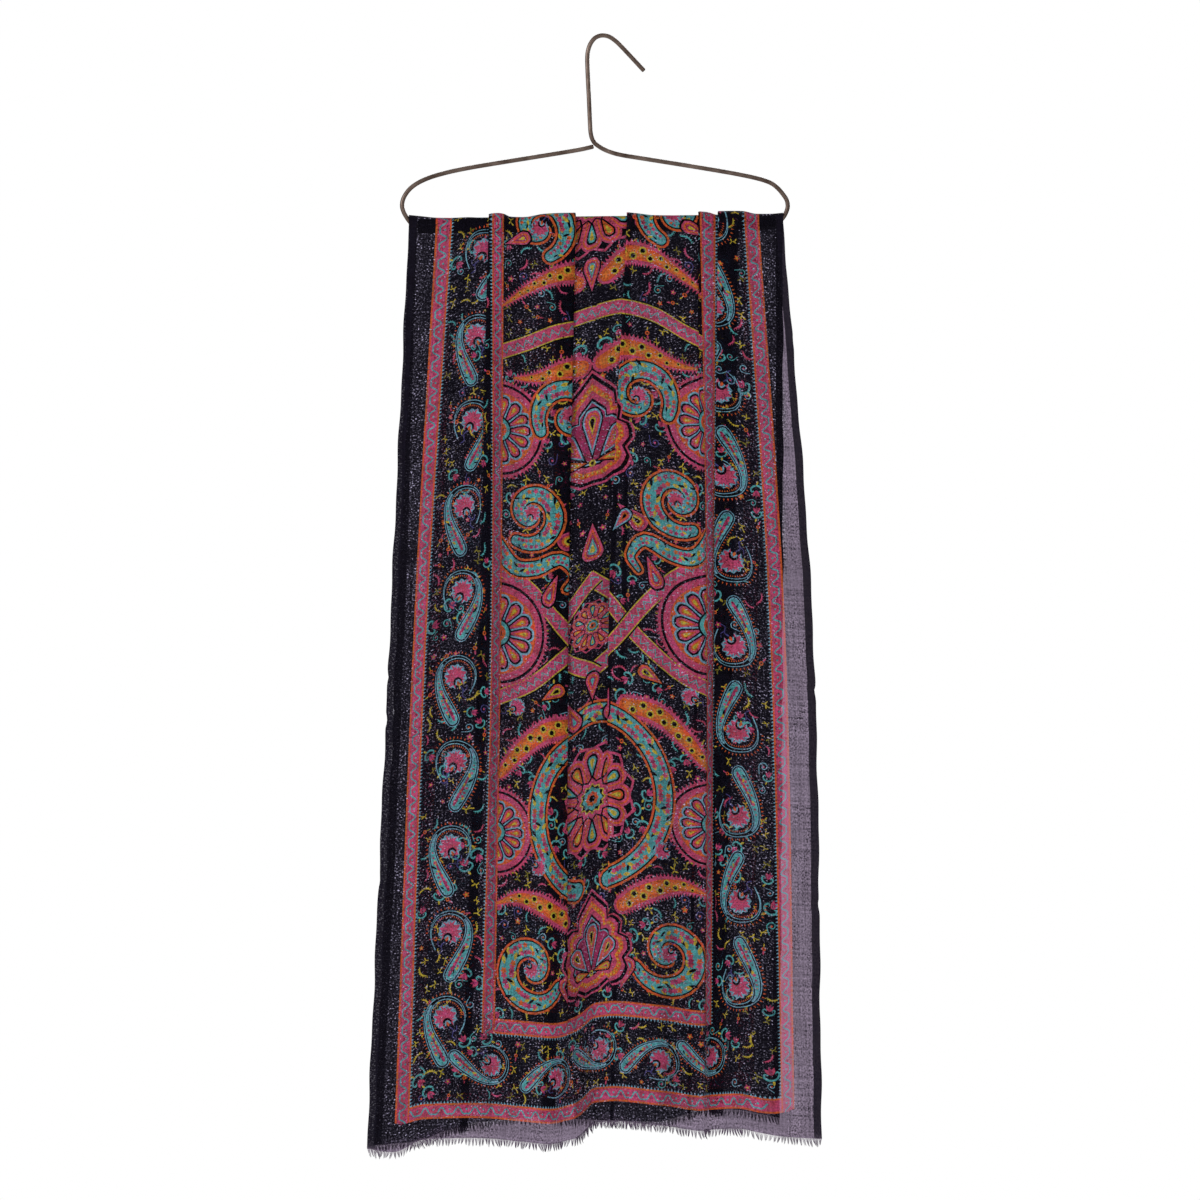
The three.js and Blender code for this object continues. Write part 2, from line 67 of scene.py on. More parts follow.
# Each row is one line down the cloth. u is its place across the cloth, one for all heights or one for
# each. x and depth are the front drop's at the bar, at MID_SHARE of the drop and at the hem, and back is
# the back drop's depth at mid height and at the hem. A row with laps is a knife pleat, whose panel named
# by over lies on the other.
Fold = namedtuple("Fold", "name u x depth back over lap back_lap", defaults=("", (0, 0, 0), (0, 0)))
FOLDS = [Fold(*row) for row in [
    ("left selvedge", 0, (-193, -211, -235), (11.5, 4.5, 10), (8, 6)),
    ("left margin", 14, (-179.5, -198.5, -221.5), (10, 8, 14), (11, 9)),
    ("outer strip starts", 27.5, (-166, -187, -208), (8.5, 12, 15), (13, 14)),
    ("outer strip ends", 42.5, (-150, -174, -193.5), (8.15, 13, 12), (10, 17)),
    ("column valley", 60, (-134, -158.5, -177), (8.6, 8.5, 13), (7, 12)),
    ("column rise", 74, (-122, -145.5, -163.5), (8.15, 9.5, 16.5), (8, 8)),
    ("left strip pleat", (97, 97, 97), (-113.5, -124.5, -141), (8.15, 14, 17), (8, 8),
     "right", (13.5, 0, 0), (12, 8)),
    ("inner strip starts", 115, (-109.5, -110, -123), (12.2, 16, 16), (14, 16)),
    ("strip ridge", 122, (-104.5, -105.5, -116), (12.6, 12, 14.5), (15, 18)),
    ("inner strip ends", 130, (-98, -100.5, -109), (11.6, 7.5, 13), (14, 17)),
    ("foot of the ridge", 137, (-92, -94.5, -102.5), (8.7, 7, 14), (10, 12)),
    ("left panel crease", 152, (-78, -80.5, -89.5), (8.15, 4.5, 18), (7, 6)),
    ("left panel rise", 172, (-57.5, -62, -72.5), (11.2, 9.5, 26), (12, 10)),
    ("left panel ridge", 190, (-39.5, -46.5, -57.5), (11.9, 12.5, 33), (14, 17)),
    ("left centre pleat", (224, 219, 222), (-26, -33, -34), (8.15, 6.5, 24), (7, 9),
     "left", (19, 15, 0), (18, 13)),
    ("centre panel", 252, (-18, -17.5, -14.5), (8.15, 9, 7), (7, 6)),
    ("centre valley", 268, (-2.5, -1, -8), (8.15, 7.5, 3), (8, 10)),
    ("right centre pleat", (300.5, 282, 286), (24.5, 7, 8.5), (8.15, 5, 15), (7, 10),
     "right", (5.5, 5, 0), (5, 4)),
    ("right panel rise", 320, (36.5, 36.5, 38.5), (10.5, 11.5, 28), (12, 18)),
    ("right panel ridge", 335, (52, 51.5, 53), (8.6, 13, 31), (9, 20)),
    ("right panel fall", 358, (75.5, 74, 75), (8.15, 11.5, 18), (7, 12)),
    ("right strip pleat", (382, 380, 381), (96, 97, 97), (8.15, 13, 11), (6.5, 6),
     "right", (4.25, 0, 0), (4, 3)),
    ("right inner strip", 397, (104.5, 107.5, 105), (11.2, 8.5, 5), (10, 10)),
    ("right column pleat", (430, 414.5, 412), (115.5, 112, 115.5), (8.15, 3.6, 4.5), (6.5, 6),
     "right", (21, 7, 0), (19, 15)),
    ("right column", (464, 450, 450), (127, 139.5, 145), (12, 9.5, 15), (12, 16)),
    ("right outer strip", 475, (139.5, 163.6, 177.5), (11.8, 12.5, 14), (12, 19)),
    ("right strip ends", 490, (154.5, 179, 190.5), (8.8, 13, 10), (9, 12)),
    ("right margin", 505, (168, 194.5, 205), (8.6, 10, 6.5), (8, 7)),
    ("right selvedge", 520, (181, 209.5, 220), (9.5, 5, 5), (6, 5)),
]]

# How far each hem hangs below the bar's axis, as (u, drop)
HEMS = {
    "front": [(0, 921), (27, 924.5), (60, 912), (100, 911), (165, 915), (200, 917), (235, 911),
              (264, 899), (290, 896), (340, 900), (385, 907), (440, 905), (475, 913), (520, 917)],
    "back": [(0, 919), (40, 916), (70, 905), (115, 899), (205, 892), (260, 895), (350, 899),
             (385, 889), (430, 886), (475, 888), (520, 896)],
}

# Soft creases pressed or worn into the cloth. Each row is (u, share of the drop) where it starts, the
# same where it ends, its width and its depth, which is negative in a trough and positive on a ridge.
CREASES = {
    "front": [
        (146, 0.12, 163, 0.55, 5, -1.5), (163, 0.3, 158, 0.62, 7, 1.3),
        (205, 0.02, 198, 0.2, 5, -1.6), (178, 0.62, 188, 0.95, 9, -2.4),
        (140, 0.72, 150, 1.0, 7, 1.9), (60, 0.02, 52, 0.24, 6, -1.3),
        (84, 0.35, 78, 0.66, 8, 1.6), (33, 0.5, 24, 0.86, 7, -1.8),
        (12, 0.1, 16, 0.42, 5, 1.1), (243, 0.08, 246, 0.36, 4, -1.2),
        (262, 0.4, 256, 0.72, 6, 1.2), (310, 0.05, 318, 0.27, 5, -1.4),
        (345, 0.3, 333, 0.52, 6, 1.5), (305, 0.58, 313, 0.9, 8, -2.2),
        (352, 0.7, 356, 1.0, 7, -2.0), (369, 0.14, 371, 0.48, 4, 1.1),
        (441, 0.3, 433, 0.6, 7, -1.6), (458, 0.62, 464, 0.94, 8, 1.9),
        (500, 0.2, 507, 0.55, 6, -1.5), (492, 0.66, 499, 0.98, 8, 1.8),
    ],
    "back": [
        (18, 0.05, 24, 0.4, 6, -1.4), (52, 0.3, 46, 0.75, 8, 1.7),
        (120, 0.1, 131, 0.42, 6, -1.5), (150, 0.5, 143, 0.92, 9, 2.0),
        (176, 0.04, 181, 0.26, 5, 1.2), (240, 0.34, 247, 0.68, 7, -1.6),
        (262, 0.6, 257, 0.96, 9, 1.8), (316, 0.08, 322, 0.38, 6, -1.3),
        (343, 0.42, 351, 0.84, 8, -2.1), (366, 0.03, 372, 0.3, 5, 1.2),
        (398, 0.5, 404, 0.9, 7, 1.5), (470, 0.15, 463, 0.46, 6, -1.5),
        (486, 0.55, 497, 0.97, 8, 1.7),
    ],
}

# The crease across the cloth where it lay folded in its pack, as (u, share of the drop)
PRESSED_LINE = [(0, 0.535), (60, 0.548), (150, 0.556), (260, 0.55), (330, 0.546), (390, 0.552), (520, 0.56)]
PRESSED_WIDTH = 3.2
PRESSED_DEPTH = 1.5

# Where the pressed creases nick the left and right selvedges, as (share of the drop, depth)
EDGE_NOTCHES = {
    "front": [[(0.489, 1.6), (0.536, 2.0), (0.71, 0.9)], [(0.13, 0.7), (0.512, 1.9), (0.745, 1.5)]],
    "back": [[(0.3, 0.8), (0.53, 1.8)], [(0.545, 2.0), (0.82, 1.0)]],
}

HOOK_LINE = [
    (41.7, -32.8), (23, -12.7), (14.1, -3.8), (7.1, 0.9), (0, 2.2), (-6.3, 0.1), (-10.7, -4.7),
    (-13.6, -11.7), (-14.7, -20.7), (-14.2, -38), (-13, -62), (-12.1, -83), (-11.4, -94.3),
    (-9.9, -101), (-7.3, -105.4), (-4.2, -108), (0.5, -111), (6, -113.6),
]
RIGHT_ARM_LINE = [
    (6.3, -113.72), (14.1, -116.2), (24.3, -118.3), (37.6, -120.4), (100, -130.4), (140.8, -137.6),
    (163.7, -143.3), (174.5, -149.4), (183.5, -160.2), (185.7, -167.2), (184.8, -173), (182.2, -178.4),
    (179, -182.4), (176, -184.3),
]
LEFT_ARM_LINE = [
    (-9.1, -109.05), (-21.6, -111.9), (-42, -115.4), (-73, -120.4), (-132, -130.1), (-161, -136.5),
    (-178.5, -142.5), (-190.5, -149.8), (-197.5, -158.6), (-199.9, -166.6), (-198.9, -173),
    (-196, -178.8), (-192.4, -184), (-189, -187.4), (-186.2, -188.5),
]

# The print's bands across the cloth and up from the outer strip's lower edge
SELVEDGE = 8
STRIP = 15
OUTER_STRIP = 27.5
COLUMN = 42.5
INNER_STRIP = 115
AXIS = CLOTH_WIDTH / 2
ROW_STARTS = STRIP
ROW_ENDS = 85
FIELD_STARTS = 100
PRINT_TOP = 925
HEM_MARGIN = 20
HEM_BOW = 22
BOW_REACH = 60


def tint(code):
    """Linear colour of an sRGB hex code"""
    parts = [int(code[i:i + 2], 16) / 255 for i in (0, 2, 4)]
    return [p / 12.92 if p <= 0.04045 else ((p + 0.055) / 1.055) ** 2.4 for p in parts]


# Print colours, each with how much of the light the cloth stops there
INKS = {name: tint(code) + [stopped] for name, code, stopped in (
    ("margin", "15121c", 0.82), ("ground", "120f1a", 0.87), ("selvedge", "1d1926", 0.985),
    ("pink", "cd5075", 0.87), ("rose", "a83562", 0.85), ("orange", "dc6536", 0.87),
    ("amber", "e5803a", 0.87), ("yellow", "cdb53f", 0.85), ("olive", "8f8430", 0.82),
    ("teal", "59adb1", 0.87), ("wave", "63abb5", 0.87), ("blue", "7db2ca", 0.86),
    ("violet", "4f4a86", 0.8), ("black", "0b0a10", 0.92),
)}


def smooth(points, per=5):
    """An even curve through the points"""
    p = np.array(points, float)
    p = np.vstack([2 * p[0] - p[1], p, 2 * p[-1] - p[-2]])
    t = (np.arange(per) / per)[:, None]
    parts = []
    for a, b, c, d in zip(p[:-3], p[1:-2], p[2:-1], p[3:]):
        parts.append(0.5 * (2 * b + (c - a) * t + (2 * a - 5 * b + 4 * c - d) * t ** 2
                            + (3 * b - a - 3 * c + d) * t ** 3))
    return np.vstack([*parts, p[-2]])


def spread(values, count):
    """Values spread evenly over count places"""
    values = np.atleast_1d(np.array(values, float))
    if len(values) == 1:
        return np.full(count, values[0])
    return np.interp(np.linspace(0, 1, count), np.linspace(0, 1, len(values)), values)


def polar(reach, angles):
    """Points at these distances and angles from 0, 0"""
    return np.column_stack([reach * np.cos(angles), reach * np.sin(angles)])


def mirrored(half):
    """A closed outline from its right half, which starts and ends on the axis"""
    return np.vstack([half, (half * [-1, 1])[::-1][1:-1]])


def sides_of(line):
    """Unit directions along a line and to its left"""
    along = np.gradient(line, axis=0)
    along /= np.maximum(np.linalg.norm(along, axis=1), 1e-9)[:, None]
    return along, np.column_stack([-along[:, 1], along[:, 0]])


def cap(centre, towards, radius):
    """Half circle round a line's end, from its left side to its right side"""
    facing = math.atan2(towards[1], towards[0])
    steps = 5 if radius > 2.5 else 3
    return centre + polar(radius, facing + np.linspace(math.pi / 2, -math.pi / 2, steps + 2)[1:-1])


class Track:
    """A band's middle line, measured along its length"""

    def __init__(self, line, widths=0):
        steps = np.linalg.norm(np.diff(line, axis=0), axis=1)
        self.reach = np.concatenate([[0], np.cumsum(steps)])
        self.length = self.reach[-1]
        self.rows = [*line.T, *sides_of(line)[1].T, spread(widths, len(line)) / 2]

    def at(self, place):
        """The point there, the direction to its left and half the band's width"""
        x, y, left_x, left_y, half = [np.interp(place, self.reach, row) for row in self.rows]
        return np.stack([x, y], -1), np.stack([left_x, left_y], -1), half


class Pen:
    """Draws shapes into a list, each placed, turned, sized and mirrored as the pen is"""

    def __init__(self, shapes, matrix=np.eye(2), offset=np.zeros(2)):
        self.shapes = shapes
        self.matrix = matrix
        self.offset = offset

    def at(self, x, y, turn=0, size=1, flip=False):
        c, s = math.cos(math.radians(turn)), math.sin(math.radians(turn))
        own = size * np.array([[c, -s], [s, c]]) @ np.diag([-1 if flip else 1, 1])
        return Pen(self.shapes, self.matrix @ own, self.offset + self.matrix @ np.array([x, y], float))

    def fill(self, points, ink):
        self.shapes.append((np.asarray(points, float) @ self.matrix.T + self.offset, ink))

    def block(self, left, low, right, high, ink):
        self.fill([(left, low), (right, low), (right, high), (left, high)], ink)

    def band(self, line, widths, ink, caps=(False, False)):
        along, left = sides_of(line)
        half = spread(widths, len(line))[:, None] / 2
        outline = [line + left * half]
        if caps[1]:
            outline.append(cap(line[-1], along[-1], half[-1, 0]))
        outline.append((line - left * half)[::-1])
        if caps[0]:
            outline.append(cap(line[0], -along[0], half[0, 0]))
        self.fill(np.vstack(outline), ink)

    def curve(self, points, per, widths, ink, caps=(False, False)):
        self.band(smooth(points, per), widths, ink, caps)

    def dot(self, x, y, radius, ink, sides=7):
        self.fill(polar(radius, np.arange(sides) * 2 * math.pi / sides) + (x, y), ink)

    def leaf(self, x, y, length, width, turn, ink):
        """A pointed leaf that starts at x, y"""
        t = np.linspace(0, 1, 5 if length > 9 else 4 if length > 4 else 3)
        side = np.column_stack([length * t[1:-1], width / 2 * np.sin(math.pi * t[1:-1])])
        self.at(x, y, turn).fill(np.vstack([[[0, 0]], side, [[length, 0]], (side * [1, -1])[::-1]]), ink)

    def blossom(self, x, y, radius, petals, ink, depth=0.3, turn=0):
        """A disc with a lobed edge"""
        count = petals * (4 if radius > 4 else 2)
        angles = np.arange(count) * 2 * math.pi / count
        reach = radius * (1 - depth / 2 + depth / 2 * np.cos(petals * angles))
        self.fill(polar(reach, angles + math.radians(turn)) + (x, y), ink)


MOTTLE = ("pink", "yellow", "rose", "black", "pink", "yellow", "orange")
ONE_ROW_UP_TO = 3.2
SMALLEST_SPOT = 0.55
LARGEST_SPOT = 4.2


def mottle(pen, line, widths, rng, spacing=5.0):
    """Small blossoms and leaves scattered along a band"""
    track = Track(line, widths)
    place = spacing / 2
    step = 0
    while place < track.length:
        centre, aside, room = track.at(place)
        heading = math.degrees(math.atan2(-aside[0], aside[1]))
        rows = 1 if room < ONE_ROW_UP_TO else 2
        size = min(room / rows * 0.95, LARGEST_SPOT)
        for row in range(rows if size >= SMALLEST_SPOT else 0):
            x, y = centre + aside * (0 if rows == 1 else (row - 0.5) * room * 1.05)
            ink = MOTTLE[(step * 2 + row * 3) % len(MOTTLE)]
            if ink in ("yellow", "black"):
                long, wide, sway = (2.4, 1.2, 50) if ink == "yellow" else (2.6, 0.9, 60)
                pen.leaf(x, y, size * long, size * wide, heading + rng.uniform(-sway, sway), ink)
            else:
                pen.blossom(x, y, size, 5, ink, 0.45, rng.uniform(0, 70))
        place += spacing * rng.uniform(0.75, 1.2)
        step += 1


def ticks(pen, line, widths, side, spacing, length, thick, ink, start=0.0, end=1.0, gap=0.0):
    """Short strokes standing off one side of a band"""
    track = Track(line, widths)
    place = track.length * start
    while place < track.length * end:
        centre, aside, half = track.at(place)
        aside = side * aside
        base = centre + aside * (half + gap)
        ahead = np.array([-aside[1], aside[0]]) * thick / 2
        pen.fill([base - ahead, base + ahead, base + aside * length], ink)
        place += spacing


def carnation(pen):
    """A serrated flower head seen from the side, with its dark and orange cup"""
    opening = np.radians(np.linspace(-66, 246, 45))
    lobes = np.cos(np.linspace(0, 20 * math.pi, 45))
    for radius, depth, ink in ((13.0, 0.07, "blue"), (12.6, 0.15, "pink")):
        rim = polar(radius * (1 - depth + depth * lobes), opening) + (0, 1)
        pen.fill(np.vstack([rim, [(-2.4, -3.4), (2.4, -3.4)]]), ink)
    for turn in (-34, 22, 58, 96, 140, 200):
        pen.at(0, 1, turn).leaf(13.2, 0, 5.6, 2.3, 180, "blue")
    pen.curve([(-4.6, -6.5), (-2.6, -2.2), (2.0, -1.8), (4.6, -6.0)], 3, [1.8, 2.4, 1.8], "black")
    pen.curve([(-3.0, -7.6), (-1.4, -4.2), (1.2, -4.0), (2.8, -7.4)], 3, [1.4, 1.8, 1.4], "blue")
    pen.leaf(0, -9.6, 6, 3.2, 90, "orange")
    pen.curve([(0.5, -10), (3.0, -15), (-0.5, -20), (2.5, -25)], 3, [1.4, 1.0, 1.0], "violet")
    pen.curve([(1.8, -16.5), (6.4, -16), (8, -12)], 3, [1.0, 0.8], "violet")


DROP_LINE = [(-2, -43), (-6, -36), (-12, -25), (-17, -13), (-19.4, 0), (-17, 11), (-9.5, 18.5),
             (2, 20.8), (13, 17), (19.4, 7), (19.8, -5), (15, -17)]
DROP_WIDTHS = [9.8, 10.4, 8.6, 5.6, 2.8, 0.8, 0.1, 0, 0, 0, 0, 0]
RIM_PLACES = [0, 0.4, 0.65, 0.86, 1]
RIM_WIDTHS = [5.8, 4.6, 3.6, 1.4, 1.1]
GROOVE_WIDTHS = [4.2, 3.0, 2.1, 0.2, 0.1]


def boteh(pen, rng):
    """One paisley drop hooked round its flower, about 44 mm wide and 76 mm tall"""
    line = smooth(DROP_LINE, 3)
    count = len(line)
    widths = spread(DROP_WIDTHS, count)
    rim, groove = [np.interp(np.linspace(0, 1, count), RIM_PLACES, w) for w in (RIM_WIDTHS, GROOVE_WIDTHS)]
    body = int(count * 0.42)
    toothed = body * 2 + 2
    for first, last, wider, side, spacing, length, thick, start, end, gap in (
            (0, toothed, 6, 1, 3.4, 2.6, 1.6, 0.02, 1.0, 0.7),
            (body, toothed, 5.6, -1, 2.9, 2.0, 1.4, 0.02, 1.0, 0.5),
            (0, body, 6, -1, 3.2, 2.2, 1.4, 0.05, 0.9, 0.7)):
        ticks(pen, line[first:last], widths[first:last] + wider, side, spacing, length, thick, "orange",
              start, end, gap)
    for last, wide, ink in ((count, widths + rim, "blue"), (-4, widths + groove, "black"),
                            (body + 3, widths + 1.3, "blue"),
                            (body + 1, np.maximum(widths - 0.7, 0.4), "teal")):
        pen.band(line[:last], wide[:last], ink, (True, False))
    pen.band(line[:body - 4] + [1.6, 0], widths[:body - 4] * 0.3, "rose", (True, False))
    mottle(pen, line[:body - 1], widths[:body - 1] - 1.4, rng, 4.4)
    carnation(pen.at(0, 0, 24))


def sprig(pen, ink, rng):
    """A forked twig with three leaves"""
    pen.curve([(0, -4), (2, 1), (0.6, 6)], 2, [1.5, 1.0], ink)
    for x, y, length, width, turn, sway in ((1.4, 0, 6.4, 2.3, 15, 15), (1.2, 2, 6.0, 2.2, 150, 15),
                                            (0.7, 5, 5.4, 2.3, 80, 20)):
        pen.leaf(x, y, length, width, turn + rng.uniform(-sway, sway), ink)


def tendril(pen, ink, rng):
    """A curl that winds into a small eye"""
    line = polar(np.linspace(6.4, 1.2, 12), np.linspace(0, 1.35 * 2 * math.pi, 12))
    pen.band(np.vstack([[[8.5, -8]], line]), [0.9, 1.5, 1.2, 0.9], ink)
    pen.dot(0.4, 0.2, 1.6, rng.choice(["pink", "orange"]), 5)


def loop_flower(pen, rng):
    """A small orange ring on a pink stem"""
    pen.dot(0, 0, 3.1, "orange", 7)
    pen.dot(0, 0, 1.4, "black", 5)
    pen.leaf(1.8, 1.5, 7.5, 2.6, 40 + rng.uniform(-15, 15), "pink")
    pen.leaf(-2, -1.4, 7, 1.9, 205, "yellow")


def tulip(pen):
    """A pink tulip between two teal curls"""
    for side in (-1, 1):
        curl = [(0, -7), (side * 5, -5.5), (side * 8.5, -1), (side * 6.8, 3), (side * 4, 1.2)]
        pen.curve(curl, 2, [2.6, 2.6, 2.2, 1.4], "teal", (False, True))
    for y, length, width, turn, ink in ((0, 11, 4.6, 62, "pink"), (0, 11, 4.6, 118, "pink"),
                                        (0, 12, 4.2, 90, "rose"), (-7, 7, 3.2, 285, "yellow")):
        pen.leaf(0, y, length, width, turn, ink)


def serrated_leaf(pen, ink):
    """A curved leaf with toothed edges"""
    line = smooth([(-7, -3), (-1, 1.5), (6, 1.5), (11, -2)], 2)
    ticks(pen, line, 1.6, 1, 3.0, 2.0, 1.6, ink)
    pen.band(line, [0.6, 2.3, 2.1, 0.5], ink)


PLANT_SIZES = (0.55, 0.8)
PLANT_JITTER = 0.3
PLANTS = ["sprig", "tendril", "loop", "sprig", "leaf", "tulip", "flower", "sprig", "leaf"]


def plant(pen, kind, rng):
    """One small plant of the ground"""
    if kind == "sprig":
        sprig(pen, rng.choice(["olive", "yellow", "yellow"]), rng)
    elif kind == "tendril":
        tendril(pen, rng.choice(["violet", "blue", "teal"]), rng)
    elif kind == "loop":
        loop_flower(pen, rng)
    elif kind == "tulip":
        tulip(pen)
    elif kind == "flower":
        pen.blossom(0, 0, 4.6, 5, rng.choice(["pink", "orange", "rose"]), 0.5)
        pen.dot(0, 0, 1.5, "yellow", 5)
    else:
        serrated_leaf(pen, rng.choice(["teal", "yellow", "pink"]))


def strew(pen, low, high, pitch, rng, share=1.0):
    """Small plants over a stretch of ground, one to a cell"""
    columns, rows = [max(1, round((high[k] - low[k]) / pitch)) for k in (0, 1)]
    for row in range(rows):
        for column in range(columns):
            if rng.random() > share:
                continue
            across = column + 0.5 + rng.uniform(-PLANT_JITTER, PLANT_JITTER)
            up = row + 0.5 + rng.uniform(-PLANT_JITTER, PLANT_JITTER)
            x = low[0] + across * (high[0] - low[0]) / columns
            y = low[1] + up * (high[1] - low[1]) / rows
            spot = pen.at(x, y, rng.uniform(0, 360), rng.uniform(*PLANT_SIZES))
            plant(spot, PLANTS[(row * 4 + column * 5 + rng.randrange(2)) % len(PLANTS)], rng)


WAVE_PITCH = 17
WAVE_SHAPE = [(0, 3.5), (0.1, 2.4), (0.26, -2.3), (0.37, -3.4), (0.5, -2.9), (0.63, -3.4),
              (0.74, -2.3), (0.9, 2.4)]
TOOTH_PITCH = 3.5
STRIP_EDGE = 1.9


def strip(pen, length, tooth_side):
    """A woven-looking strip from 0 to length along x and 0 to STRIP across, with teeth on one side"""
    pen.block(0, 0, length, STRIP, "orange")
    pen.block(0, STRIP_EDGE, length, STRIP - STRIP_EDGE, "pink")
    middle = STRIP / 2
    count = int(length / WAVE_PITCH)
    wave = [((k + along) * WAVE_PITCH, middle + tooth_side * up)
            for k in range(count) for along, up in WAVE_SHAPE]
    pen.band(np.array(wave), 1.6, "wave")
    for k in range(count):
        x = k * WAVE_PITCH
        low, top = middle - tooth_side * 1.6, middle + tooth_side * 1.6
        pen.fill([(x - 1.5, low), (x + 1.5, low), (x, top)], "rose")
        pen.dot(x + WAVE_PITCH / 2, middle + tooth_side * 1.4, 1.2, "wave", 5)
    base = STRIP if tooth_side > 0 else 0
    for k in range(int(length / TOOTH_PITCH)):
        x = (k + 0.5) * TOOTH_PITCH
        pen.fill([(x - 1.1, base), (x + 1.1, base), (x, base + tooth_side * 2.6)], "blue")


def lined_band(pen, line, widths, rng, caps=(True, True)):
    """A mottled teal scroll with a black and an orange line along both edges"""
    widths = spread(widths, len(line))
    for extra, ink in ((8.4, "orange"), (4.0, "black"), (1.2, "teal"), (-2.2, "blue"), (-3.8, "teal")):
        pen.band(line, widths + extra, ink, caps)
    mottle(pen, line, widths, rng)


EYE_START = 8.0
EYE_END = 10
EYE_PITCH = (8, 11)


def feather(pen, points, widths, rng):
    """A long serrated leaf, magenta outside and orange within, with a row of dark eyes"""
    line = smooth(points, 4)
    widths = spread(widths, len(line))
    for side in (1, -1):
        ticks(pen, line, widths - 0.6, side, 3.6, 3.6, 2.6, "pink")
    for share, ink in ((1, "pink"), (0.7, "orange"), (0.36, "amber")):
        pen.band(line, widths * share, ink, (True, False))
    track = Track(line, widths)
    place = EYE_START
    step = 0
    while place < track.length - EYE_END:
        centre, aside, half = track.at(place)
        room = 2 * half
        x, y = centre + aside * room * 0.14 * (1 if step % 2 else -1)
        pen.dot(x, y, min(room * 0.19, 4.2), "yellow", 8)
        pen.dot(x, y, min(room * 0.12, 2.6), "black", 6)
        place += rng.uniform(*EYE_PITCH)
        step += 1


def nested(pen, outline, middle, rims):
    """One outline drawn over and over, each time smaller and in its own colour"""
    for share, ink in rims:
        pen.fill((outline - middle) * share + middle, ink)


def rimmed_drop(pen, length, width, inks):
    """A drop with its point at 0, 0 and its round end at length along y, in nested rims"""
    half = smooth([(0, 0), (0.2, 0.28), (0.42, 0.6), (0.5, 0.8), (0.3, 0.97), (0, 1)], 2)
    inks = inks.split()
    rims = zip(np.linspace(1, 0.22, len(inks)), inks)
    nested(pen, mirrored(half * [width, length]), np.array([0, length * 0.72]), rims)


def drops(pen, rows):
    for x, y, turn, length, width, inks in rows:
        rimmed_drop(pen.at(x, y, turn), length, width, inks)


LOTUS_LOBES = [(0, -46), (12, -45), (24, -36), (30, -41), (44, -36), (52, -22), (47, -12), (55, -2),
               (52, 12), (41, 16), (43, 28), (32, 36), (23, 34), (22, 46), (11, 56), (0, 66)]


def lotus(pen):
    """A lotus seen from the side in nested rims, about 110 mm wide and 112 mm tall, with its own buds"""
    whole = mirrored(smooth(LOTUS_LOBES, 2))
    nested(pen, whole, 0, ((1.12, "pink"), (1.07, "black"), (0.99, "pink"), (0.9, "orange"),
                           (0.83, "amber"), (0.78, "pink"), (0.66, "black"), (0.61, "blue"),
                           (0.58, "rose")))
    ticks(pen, np.vstack([whole, whole[:1]]) * 0.86, 0, 1, 5.2, 3.4, 2.4, "yellow")
    bud = "black blue pink orange pink yellow black"
    leaf = "black orange yellow pink"
    drops(pen, ((-6, -24, 38, 46, 23, bud), (6, -24, -38, 46, 23, bud), (0, -24, 0, 58, 23, bud),
                (0, -26, 78, 32, 13, leaf), (0, -26, -78, 32, 13, leaf)))
    pen.dot(0, -27, 4, "yellow")
    pen.dot(0, -27, 2, "black", 6)


PETALS = 12
DRAWN_RADIUS = 60


def medallion(pen, radius):
    """A rosette of lancet petals in nested rims, drawn with DRAWN_RADIUS and then sized"""
    pen = pen.at(0, 0, 0, radius / DRAWN_RADIUS)
    for size, ink in ((DRAWN_RADIUS, "pink"), (57, "black")):
        pen.blossom(0, 0, size, PETALS, ink, 0.12, 15)
    for k in range(PETALS):
        inks = "pink orange pink black teal yellow" if k % 2 else "pink orange pink black orange yellow"
        rimmed_drop(pen.at(0, 0, k * 360 / PETALS - 90), 54, 25, inks)
    for size, petals, ink in ((24, 12, "black"), (21.5, 12, "pink"), (16.5, 12, "yellow"),
                              (14.5, 12, "black"), (12.5, 8, "teal"), (8, 8, "orange"), (4, 6, "black")):
        pen.blossom(0, 0, size, petals, ink, 0.2)


RIBBON_WAVE_STEP = 4.6
RIBBON_WAVE_REACH = 3.2


def ribbon(pen, points):
    """A pink ribbon with yellow edges and a teal wave in it"""
    line = smooth(points, 4)
    for width, ink in ((18, "black"), (15, "yellow"), (12.6, "pink")):
        pen.band(line, width, ink)
    track = Track(line)
    places = np.linspace(0, track.length, int(track.length / RIBBON_WAVE_STEP))
    centre, aside, _ = track.at(places)
    sway = RIBBON_WAVE_REACH * np.where(np.arange(len(places)) % 2 == 0, 1, -1)
    pen.band(centre + aside * sway[:, None], 1.7, "teal")
    for x, y in centre[1:-1:2]:
        pen.dot(x, y, 0.9, "blue", 5)


def arc(centre, radius, start, end, count=24):
    """Points of a round arc, its angles in degrees"""
    return np.array(centre) + polar(radius, np.radians(np.linspace(start, end, count)))


def scroll(pen, rng, centre, start_radius, end_radius, start, turn, count, widths):
    """A lined band that winds in, from an angle and through a turn in degrees"""
    angles = np.radians(start + np.linspace(0, turn, count))
    line = np.array(centre) + polar(np.linspace(start_radius, end_radius, count), angles)
    lined_band(pen, line, widths, rng)


ROSETTE_AXIS = 133


